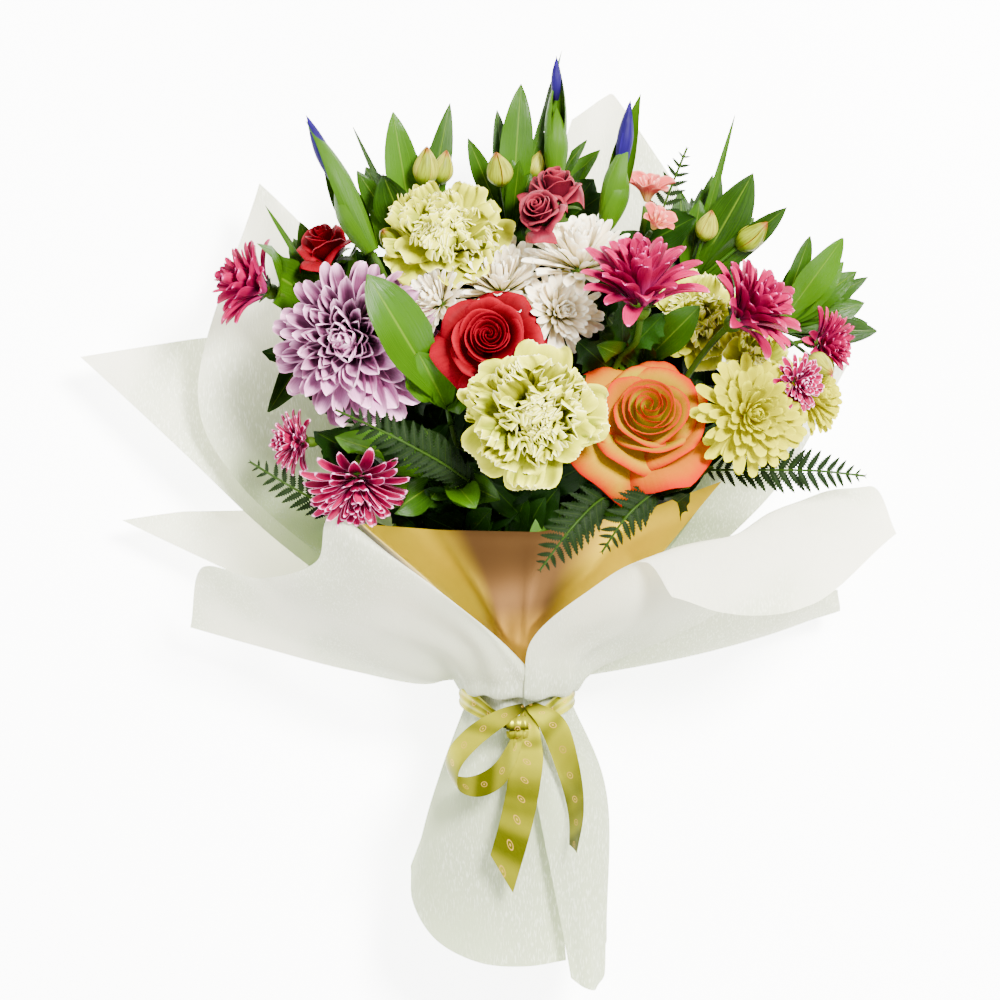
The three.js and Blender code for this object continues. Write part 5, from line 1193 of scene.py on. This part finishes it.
# each sheet: its ring at the tie, and columns of places as (angle at the tie, places above, places below)
SHEETS = {
    "wrap_gold": ("gold", [
        (185, [[430, 600, 85], [352, 520, 104]], []), (150, [[445, 598, 104], [362, 524, 118]], []),
        (115, [[480, 600, 116], [440, 530, 128]], []), (85, [[530, 598, 118], [540, 532, 130]], []),
        (60, [[580, 590, 112], [640, 512, 130]], []), (35, [[638, 580, 104], [722, 481, 122]], [])]),
    "wrap_inner_left": ("inner", [
        (185, [[345, 575, 72], [235, 480, 52], [198, 400, 50], [260, 183, 44]], []),
        (212, [[385, 560, 36], [330, 450, 24], [300, 340, 26], [296, 218, 38]], []),
        (235, [[430, 560, 26], [390, 450, 12], [350, 350, 14], [340, 262, 24]], []),
        (257, [[470, 560, 24], [445, 450, 9], [420, 370, 8], [392, 300, 14]], [])]),
    "wrap_inner_right": ("inner", [
        (263, [[515, 560, 24], [515, 400, 9], [530, 250, 12], [572, 120, 30]], []),
        (288, [[550, 560, 24], [570, 400, 10], [600, 250, 14], [612, 93, 34]], []),
        (318, [[595, 565, 34], [650, 430, 26], [704, 320, 26], [690, 205, 34]], []),
        (336, [[635, 590, 51], [720, 480, 52], [790, 400, 50], [760, 290, 46]], [])]),
    "wrap_back": ("back", [
        (190, [[408, 632, 53], [290, 550, 42], [180, 450, 38], [80, 358, 30]], []),
        (222, [[438, 608, 26], [360, 520, 16], [280, 430, 12], [200, 338, 14]], []),
        (254, [[490, 600, 20], [455, 500, 0.5], [430, 420, 0.5], [400, 330, 0.5]], []),
        (286, [[545, 600, 20], [570, 500, 0.5], [590, 420, 0.5], [600, 330, 0.5]], []),
        (318, [[595, 610, 30], [660, 520, 16], [720, 440, 14], [770, 370, 18]], []),
        (350, [[622, 634, 56], [705, 560, 44], [784, 480, 42], [848, 365, 42]], [])]),
    "wrap_lower_left": ("outer", [
        (180, [[402, 641, 49], [300, 604, 36], [205, 560, 28], [122, 520, 24]],
         [[445, 790, 60], [420, 885, 50]]),
        (210, [[425, 640, 32], [345, 588, 18], [270, 540, 14], [185, 510, 16]],
         [[450, 810, 34], [432, 915, 24]]),
        (240, [[470, 650, 22], [430, 615, 12], [370, 560, 5], [300, 510, 4]],
         [[480, 820, 16], [465, 940, 4]]),
        (270, [[510, 655, 24], [500, 630, 18], [480, 600, 12], [470, 575, 8]],
         [[515, 820, 12], [515, 950, 0.5]]),
        (298, [[545, 660, 28], [548, 645, 25], [550, 630, 22], [552, 620, 20]],
         [[555, 815, 14], [560, 940, 5]])]),
    "wrap_lower_right": ("outer", [
        (304, [[578, 662, 30], [615, 660, 22], [650, 655, 16], [700, 645, 12]],
         [[572, 812, 20], [580, 920, 12]]),
        (330, [[592, 668, 38], [670, 656, 27], [745, 638, 19], [830, 602, 15]],
         [[588, 800, 36], [598, 920, 26]]),
        (360, [[592, 672, 50], [690, 655, 38], [770, 632, 30], [840, 611, 26]],
         [[594, 790, 60], [597, 905, 50]]),
        (390, [[590, 650, 62], [692, 622, 58], [770, 590, 52], [838, 592, 44]],
         [[588, 785, 78], [590, 905, 68]])]),
    "wrap_front_left": ("front_left", [
        (205, [[430, 682, 48], [350, 670, 45], [265, 648, 42], [190, 628, 36]],
         [[430, 815, 46], [411, 866, 38]]),
        (180, [[428, 682, 74], [345, 654, 78], [270, 615, 76], [202, 567, 72]],
         [[432, 800, 74], [413, 900, 62]]),
        (150, [[440, 656, 100], [375, 630, 108], [315, 600, 114], [262, 582, 116]],
         [[450, 790, 88], [436, 942, 78]]),
        (120, [[470, 648, 110], [415, 610, 124], [360, 582, 134], [318, 560, 132]],
         [[486, 785, 98], [478, 962, 88]]),
        (88, [[488, 636, 118], [430, 588, 138], [370, 546, 150], [331, 515, 142]],
         [[524, 780, 101], [530, 966, 92]]),
        (65, [[514, 655, 104], [490, 640, 112], [468, 627, 118], [446, 610, 122]],
         [[550, 780, 98], [566, 960, 88]])]),
    "wrap_front_right": ("front_right", [
        (84, [[531, 642, 112], [584, 594, 120], [645, 562, 130], [672, 597, 138]],
         [[532, 775, 108], [572, 978, 100]]),
        (58, [[568, 652, 98], [650, 600, 108], [735, 532, 122], [725, 612, 138]],
         [[568, 785, 104], [589, 990, 94]]),
        (30, [[585, 658, 84], [690, 605, 90], [800, 504, 110], [805, 607, 130]],
         [[598, 785, 88], [604, 978, 78]]),
        (0, [[605, 665, 62], [715, 615, 64], [870, 483, 88], [897, 532, 104]],
         [[606, 790, 60], [607, 940, 54]])]),
}


def tie_point(degrees, radius, along):
    """A point by its angle round the tie, its distance from the axis and its distance along it."""
    angle = math.radians(degrees)
    return TIE_MIDDLE + radius * (math.cos(angle) * RIGHT + math.sin(angle) * TIE_FRONT) + along * TIE_AXIS


def on_straight_lines(points, count):
    """Points at even steps on the straight lines from place to place."""
    shares = np.linspace(0, len(points) - 1, count)
    return np.stack([np.interp(shares, range(len(points)), axis) for axis in points.T], axis=1)


def wrap_net(ring, columns, across=60, step=14, crisp=False):
    """A sheet's net, pleated near the tie and wavy further out. A column passes the tie at an angle and
    then runs through its places."""
    radius = RING[ring]
    front_sheet = ring.startswith("front")
    above = spot(np.array([column[1] for column in columns], float))
    below = spot(np.array([column[2] for column in columns], float)) if columns[0][2] else above[:, :0]
    turns = through([[column[0], 0, 0] for column in columns], across)[:, 0]
    row = on_straight_lines if crisp else through
    cut = on_straight_lines(above[:, -1], across)
    above = [row(above[:, k], across) for k in range(above.shape[1])]
    above[-1] = above[-1] + (cut - above[-1]) * STRAIGHTNESS.get(ring, 0.8)
    below = [through(below[:, k], across) for k in range(below.shape[1])]
    net = []
    for j, turn in enumerate(turns):
        low, high = tie_point(turn, radius, -TIE_HALF), tie_point(turn, radius, TIE_HALF)
        front = max(math.sin(math.radians(turn)), 0)
        if front_sheet:
            hem = tie_point(turn, radius + HEM * (0.3 + 0.55 * front), 1 + 5 * front)
            flare = tie_point(turn, radius * FLARE + 3, 8 + 7 * front)
            neck = through([high, hem, flare], 8)
        else:
            rise = OUTER_RISE if ring == "outer" else FLARE_END + (RING["front_right"] - radius) * FLARE_STEP
            flare = tie_point(turn, radius * FLARE, rise)
            neck = np.linspace(high, flare, 8)
        skirt = low[None]
        if below:
            skirt = through([low, *[places[j] for places in below]], len(below) * step * 2 + 1)[::-1]
        upper = through([flare, *[places[j] for places in above]], len(above) * step + 1)
        net.append(np.concatenate([skirt, np.linspace(low, high, 5)[1:], neck[1:-1], upper]))
    net = np.array(net).swapaxes(0, 1)
    normal = np.cross(np.gradient(net, axis=1), np.gradient(net, axis=0))
    normal /= np.linalg.norm(normal, axis=2, keepdims=True) + 1e-9
    far = np.linalg.norm(net - TIE_MIDDLE, axis=2)
    c = np.linspace(0, 1, across)[None, :]
    pleat = PLEAT * np.sin(np.radians(turns)[None, :] * PLEATS)
    pleat = pleat * np.exp(-((far - PLEATED[0]) / PLEATED[1]) ** 2)
    draw = np.random.default_rng(len(columns) * 7 + int(radius * 10))
    swell = np.clip((far - WAVED[0]) / WAVED[1], 0, 1) ** 1.5
    wave = sum(draw.uniform(0.3, 1) * np.sin(np.pi * (f * c + draw.uniform(0, 2)) + far / 60)
               for f in RIPPLES)
    net = net + normal * (pleat + (0 if crisp else WAVE) * wave * swell)[..., None]
    net[..., 2] = np.maximum(net[..., 2], PAPER / 2)
    return net


def paper_shade(near):
    """Pale paper embossed with rows of short streaks, in patches. The streaks carry a painted highlight,
    as where embossing catches the light, and the paper between them a painted shade. It turns to the
    colour named near towards the tie, where the sheets lie close together: partly the deeper green of
    the layered sheets and partly painted shade."""

    def shade(tree):
        where = tree.node("ShaderNodeTexCoord", {}, output=3)
        place = tree.node("ShaderNodeUVMap", {"uv_map": "blade"})
        along = tree.node("ShaderNodeSeparateXYZ", {}, {0: place}).out("Y")
        cloud = tree.node("ShaderNodeTexNoise", {}, {"Vector": where, "Scale": 11.0, "Detail": 3.0})
        grain = tree.node("ShaderNodeTexNoise", {}, {
            "Vector": tree.node("ShaderNodeMapping", {}, {"Vector": where, "Scale": (1250.0, 230.0, 800.0)}),
            "Scale": 1.0, "Detail": 1.0})
        streaks = grain.steps(0.5, 0.68)
        made = blend(tree, cloud.steps(0.35, 0.7), colour("#E8E6D8"), colour("#DCE0C8"))
        # towards the tie the paper turns to the near colour: partly layered sheets, partly painted shade
        made = blend(tree, (along + (cloud - 0.5) * 0.3).steps(0.35, 0.9), near, made)
        patch = cloud.steps(0.4, 0.58)
        # painted shade on the paper between the streaks, in patches
        made = blend(tree, (1.0 - streaks) * patch * 0.2, made, colour("#A9AC98"))
        # painted highlight on the streaks, as where the embossing catches the light
        made = blend(tree, streaks * patch * 0.38, made, colour("#FFFFF8"))
        return {"Base Color": made, "Roughness": 0.62 - streaks * 0.25, "bump": (streaks, 0.5, 0.0005)}

    return shade


def foil_shade(tree):
    """Gold foil with painted light: a painted dark reflection, brown, where the front turns down, light gold
    at both sides and towards the tip, and painted shade along its left edge.
    """
    place = tree.node("ShaderNodeUVMap", {"uv_map": "blade"})
    axes = tree.node("ShaderNodeSeparateXYZ", {}, {0: place})
    across, along = axes.out("X"), axes.out("Y")
    where = tree.node("ShaderNodeTexCoord", {}, output=3)
    cloud = tree.node("ShaderNodeTexNoise", {}, {"Vector": where, "Scale": 7.0, "Detail": 2.0})
    edge = across + (cloud - 0.5) * 0.06
    # painted dark reflection: the front of the foil is painted brown where it turns down
    front = edge.steps(0.34, 0.46) * (1.0 - edge.steps(0.66, 0.86))
    tip = 1.0 - along.steps(0.35, 0.62)
    made = blend(tree, front, colour("#C4A206"), colour("#4E351A"))
    made = blend(tree, tip * 0.8, made, colour("#C69232"))
    # painted shade along the foil's left edge
    made = blend(tree, 1.0 - edge.steps(0.1, 0.22), made, colour("#48310C"))
    return {"Base Color": made, "Roughness": 0.3 + cloud * 0.08}


# the inner sheets turn a deeper green towards the tie, partly from their layers and partly as painted shade
paper_pale = material("pale paper", paper_shade(colour("#C6CEAE")), thin=0.5, Alpha=0.84)
paper_inside = material("inner paper", paper_shade(colour("#A2B47C")), thin=0.4, Alpha=0.9)
gold_foil = material("gold foil", foil_shade, gloss=0.5, Metallic=0.95)


def spread_out(net):
    """The rectangle that a sheet is cut from, as wide as its longest row of points and as long as its
    columns are on average, and the area of the cut, in metres."""
    wide = np.linalg.norm(np.diff(net, axis=1), axis=2).sum(axis=1).max()
    long = np.linalg.norm(np.diff(net, axis=0), axis=2).sum(axis=0).mean()
    diagonals = np.cross(net[1:, 1:] - net[:-1, :-1], net[1:, :-1] - net[:-1, 1:])
    return (wide * MM, long * MM), np.linalg.norm(diagonals, axis=2).sum() / 2 * MM * MM


for name, (ring, columns) in SHEETS.items():
    gold = name == "wrap_gold"
    skin = Skin()
    net = wrap_net(ring, columns, crisp=gold)
    skin.blade(net, PAPER)
    if gold:
        made = finish(skin, "foil_sheet", gold_foil, "gold_foil_paper", name)
    else:
        paper = paper_pale if ring.startswith("front") else paper_inside
        made = finish(skin, name + "_sheet", paper, "paper_pale", name)
    flat, area = spread_out(net)

# The binding string, hemp twine. It is wound three times round the stems, inside the papers, and holds the
# bunch together at the place where the ribbon is tied over them.
string_hemp = material("hemp string", green_shade("#A8966A", "#D8CBA2", "#CDBF9A", ribs=0.0),
                       roughness=0.85)
STRING_RING = 19.6
STRING_TURNS = 3
STRING_RISE = 3.2
STRING_RADIUS = 0.75
skin = Skin()
turns = np.linspace(0, STRING_TURNS * 360, 160)
string_path = [tie_point(turn, STRING_RING, STRING_RISE * (turn / turns[-1] - 0.5)) for turn in turns]
skin.stalk(string_path, STRING_RADIUS, sides=6)
finish(skin, "binding_string", string_hemp, "string_hemp", "string")

# The ribbon: olive satin, 19 mm wide, printed with a row of small gold rings. Its band is gathered round
# the paper and pinched in front by a small knot, from which one loop and two tails hang.
RIBBON = 0.4
RIBBON_WIDTH = 19
RIBBON_RING = 34.2
BAND_WIDTH = 16.5
BAND_PINCH = 9
KNOT_ALONG = -7
KNOT_OUT = 17
KNOT_RADIUS = 5.2
KNOT_WIDTH = 11
LOOP_SIDE = [0.36, -0.54, 0.76]
LEFT_TAIL_SIDE = [1, -0.18, 0.1]
PATTERN_LENGTH = 200
LOOP = [[524, 706, 107], [499, 719, 115], [472, 738, 120], [454, 760, 121], [453, 780, 119], [472, 787, 117],
        [496, 777, 115], [514, 749, 112], [524, 712, 107]]
LEFT_TAIL = [[529, 708, 106], [527, 760, 113], [518, 815, 114], [497, 890, 112]]
RIGHT_TAIL = [[530, 704, 107], [551, 722, 115], [568, 768, 119], [576, 812, 119], [573, 853, 117]]


def satin_shade(tree):
    """Olive satin with fine cross threads and a row of small gold rings. Its light and dark bands along the
    length are a painted highlight, and it is painted darker at the start of each strip, by the knot, as
    painted shade. A strip's tone is its length as a share of PATTERN_LENGTH, so the rings keep their spacing."""
    where = tree.node("ShaderNodeUVMap", {"uv_map": "blade"})
    axes = tree.node("ShaderNodeSeparateXYZ", {}, {0: where})
    long = tree.node("ShaderNodeAttribute", {"attribute_name": "tone"}, output=2)
    threads = tree.node("ShaderNodeTexNoise", {"noise_dimensions": "2D"}, {
        "Vector": tree.node("ShaderNodeMapping", {}, {"Vector": where, "Scale": (6.0, 400.0, 1.0)}),
        "Scale": 1.0, "Detail": 2.0})
    # painted highlight: light and dark bands that run along the satin
    painted_sheen = tree.node("ShaderNodeTexNoise", {"noise_dimensions": "1D"}, {
        "W": axes.out("Y") * long * 7.0 + axes.out("X") * 0.35, "Scale": 1.0, "Detail": 1.0})
    rows = tree.node("ShaderNodeCombineXYZ", {}, {
        0: (axes.out("X") - 0.5) * 1.1, 1: axes.out("Y") * long * 15.0})
    away = tree.node("ShaderNodeTexVoronoi", {"voronoi_dimensions": "2D"}, {
        "Vector": rows, "Scale": 1.0, "Randomness": 0.0})
    ring = 1.0 - away.steps(0.03, 0.05) + away.steps(0.1, 0.115) * (1.0 - away.steps(0.135, 0.15))
    # the satin's brightness is the painted highlight of those bands, with the threads
    bright = painted_sheen.steps(0.36, 0.64) * 0.85 + threads * 0.15
    made = blend(tree, bright, colour("#3A3E02"), colour("#8E8A12"))
    # painted shade at the start of each strip, by the knot
    made = blend(tree, axes.out("Y").steps(0.0, 0.14), colour("#1E2004"), made)
    made = blend(tree, ring * 0.8, made, colour("#B08838"))
    return {"Base Color": made, "Roughness": 0.34 + ring * 0.06}


ribbon_satin = material("satin ribbon", satin_shade, gloss=0.0, Anisotropic=0.4, Metallic=0.45)


def strip(name, path, side, width=RIBBON_WIDTH, columns=9, bow=0.0, cut=0.0, gathers=0.0):
    """A length of the ribbon along a path, as a piece of its own. side points across it, bow is how far
    it is domed, cut slants its end and gathers are the depth of its lengthwise folds."""
    c = np.linspace(-0.5, 0.5, columns)
    path = np.asarray(path)
    side = np.broadcast_to(side, path.shape)
    normal = np.cross(side, np.gradient(path, axis=0))
    normal /= np.linalg.norm(normal, axis=1, keepdims=True)
    width = np.broadcast_to(width, len(path))
    folds = np.broadcast_to(gathers, len(path))[:, None] * np.cos(6 * np.pi * c)
    raised = bow * width[:, None] * (0.25 - c ** 2) + folds
    across = (c * width[:, None])[..., None] * side[:, None]
    net = path[:, None] + across + raised[..., None] * normal[:, None]
    shares = np.linspace(0, 1, len(path))
    for k, place in enumerate(c):
        for axis in range(3):
            net[:, k, axis] = np.interp(shares * (1 - cut * (0.5 - place)), shares, net[:, k, axis])
    length = np.linalg.norm(np.diff(path, axis=0), axis=1).sum()
    skin = Skin()
    skin.blade(net, RIBBON, length / PATTERN_LENGTH)
    made = finish(skin, name, ribbon_satin, "ribbon_satin", "ribbon")


# the band runs from one side of the knot round to the other, and is narrowed and drawn down there
turns = np.linspace(95, 445, 120)
pinch = np.exp(-((np.minimum(abs(turns - 90), abs(turns - 450))) / 38) ** 2)
band = [tie_point(turn, RIBBON_RING + 8 * p ** 2, 1 + (KNOT_ALONG - 1) * p) for turn, p in zip(turns, pinch)]
strip("ribbon_band", band, TIE_AXIS, BAND_WIDTH - BAND_PINCH * pinch, columns=25,
      gathers=-0.35 - 0.4 * pinch)

# the knot is a short length folded over the band
knot_middle = tie_point(90, RIBBON_RING + KNOT_OUT, KNOT_ALONG)
around = np.radians(np.linspace(0, 352, 48))
knot = [knot_middle + KNOT_RADIUS * (math.cos(a) * 0.8 * TIE_FRONT + math.sin(a) * 1.2 * TIE_AXIS)
        for a in around]
strip("ribbon_knot", knot, RIGHT, KNOT_WIDTH + 2 * np.cos(around), columns=17, bow=0.12,
      gathers=0.3)

# the loop narrows at both of its ends
narrowed = 1 - 0.7 * np.abs(np.linspace(-1, 1, 90)) ** 4
strip("ribbon_loop", through(spot(LOOP), 90), unit(LOOP_SIDE), RIBBON_WIDTH * narrowed, columns=11, bow=-0.08)

# the tails narrow towards the knot, and the right one twists
down = np.linspace(0, 1, 60)
tail_width = RIBBON_WIDTH * (0.34 + 0.66 * np.clip(down * 3.2, 0, 1) ** 0.7)
strip("ribbon_tail_left", through(spot(LEFT_TAIL), 60), unit(LEFT_TAIL_SIDE), tail_width, bow=0.05, cut=0.14)
swing = 0.2 + 1.15 * down
twisting = np.stack([np.cos(swing) * 0.94, np.cos(swing) * 0.34, np.sin(swing)], axis=1)
strip("ribbon_tail_right", through(spot(RIGHT_TAIL), 60), twisting, tail_width, bow=0.06, cut=0.05)

# The floor, a pale seamless sheet as bright as paper in a light tent, and the light, which comes from all
# round and from three large lamps above and beside the bouquet.
FLOOR_HALF = 6
FLOOR_HEIGHT = -0.001
FLOOR_GLOW = 6.0
LIGHT_ALL_ROUND = 0.65
corners = [(x * FLOOR_HALF, y * FLOOR_HALF, FLOOR_HEIGHT) for x, y in ((-1, -1), (1, -1), (1, 1), (-1, 1))]
floor_mesh = bpy.data.meshes.new("floor")
floor_mesh.from_pydata(corners, [], [(0, 1, 2, 3)])
pale_floor = material("pale floor", lambda tree: {"Base Color": (0.9, 0.9, 0.89, 1.0)}, roughness=0.9,
                      **{"Emission Color": (1.0, 1.0, 1.0, 1.0), "Emission Strength": FLOOR_GLOW})
floor_mesh.materials.append(pale_floor)
floor = bpy.data.objects.new("floor", floor_mesh)
bpy.context.scene.collection.objects.link(floor)

# each lamp: name, place, size, power and tint
LAMPS = [
    ("key", (0.75, 0.75, 1.75), 0.5, 270.0, (1.0, 0.99, 0.97)),
    ("fill", (-1.4, 0.1, 1.4), 1.2, 50.0, (0.97, 0.99, 1.0)),
    ("foot", (0.2, -1.5, 1.3), 0.9, 45.0, (1.0, 1.0, 1.0)),
]
for name, place, size, power, tint in LAMPS:
    lamp_data = bpy.data.lights.new(name, "AREA")
    lamp_data.size = size
    lamp_data.energy = power
    lamp_data.color = tint
    lamp = bpy.data.objects.new(name, lamp_data)
    lamp.location = place
    aim = Vector((0.0, 0.02, 0.1)) - Vector(place)
    lamp.rotation_euler = aim.to_track_quat("-Z", "Y").to_euler()
    bpy.context.scene.collection.objects.link(lamp)

world = bpy.data.worlds.new("studio")
world.use_nodes = True
world.node_tree.nodes["Background"].inputs["Color"].default_value = (1.0, 1.0, 1.0, 1.0)
world.node_tree.nodes["Background"].inputs["Strength"].default_value = LIGHT_ALL_ROUND
bpy.context.scene.world = world
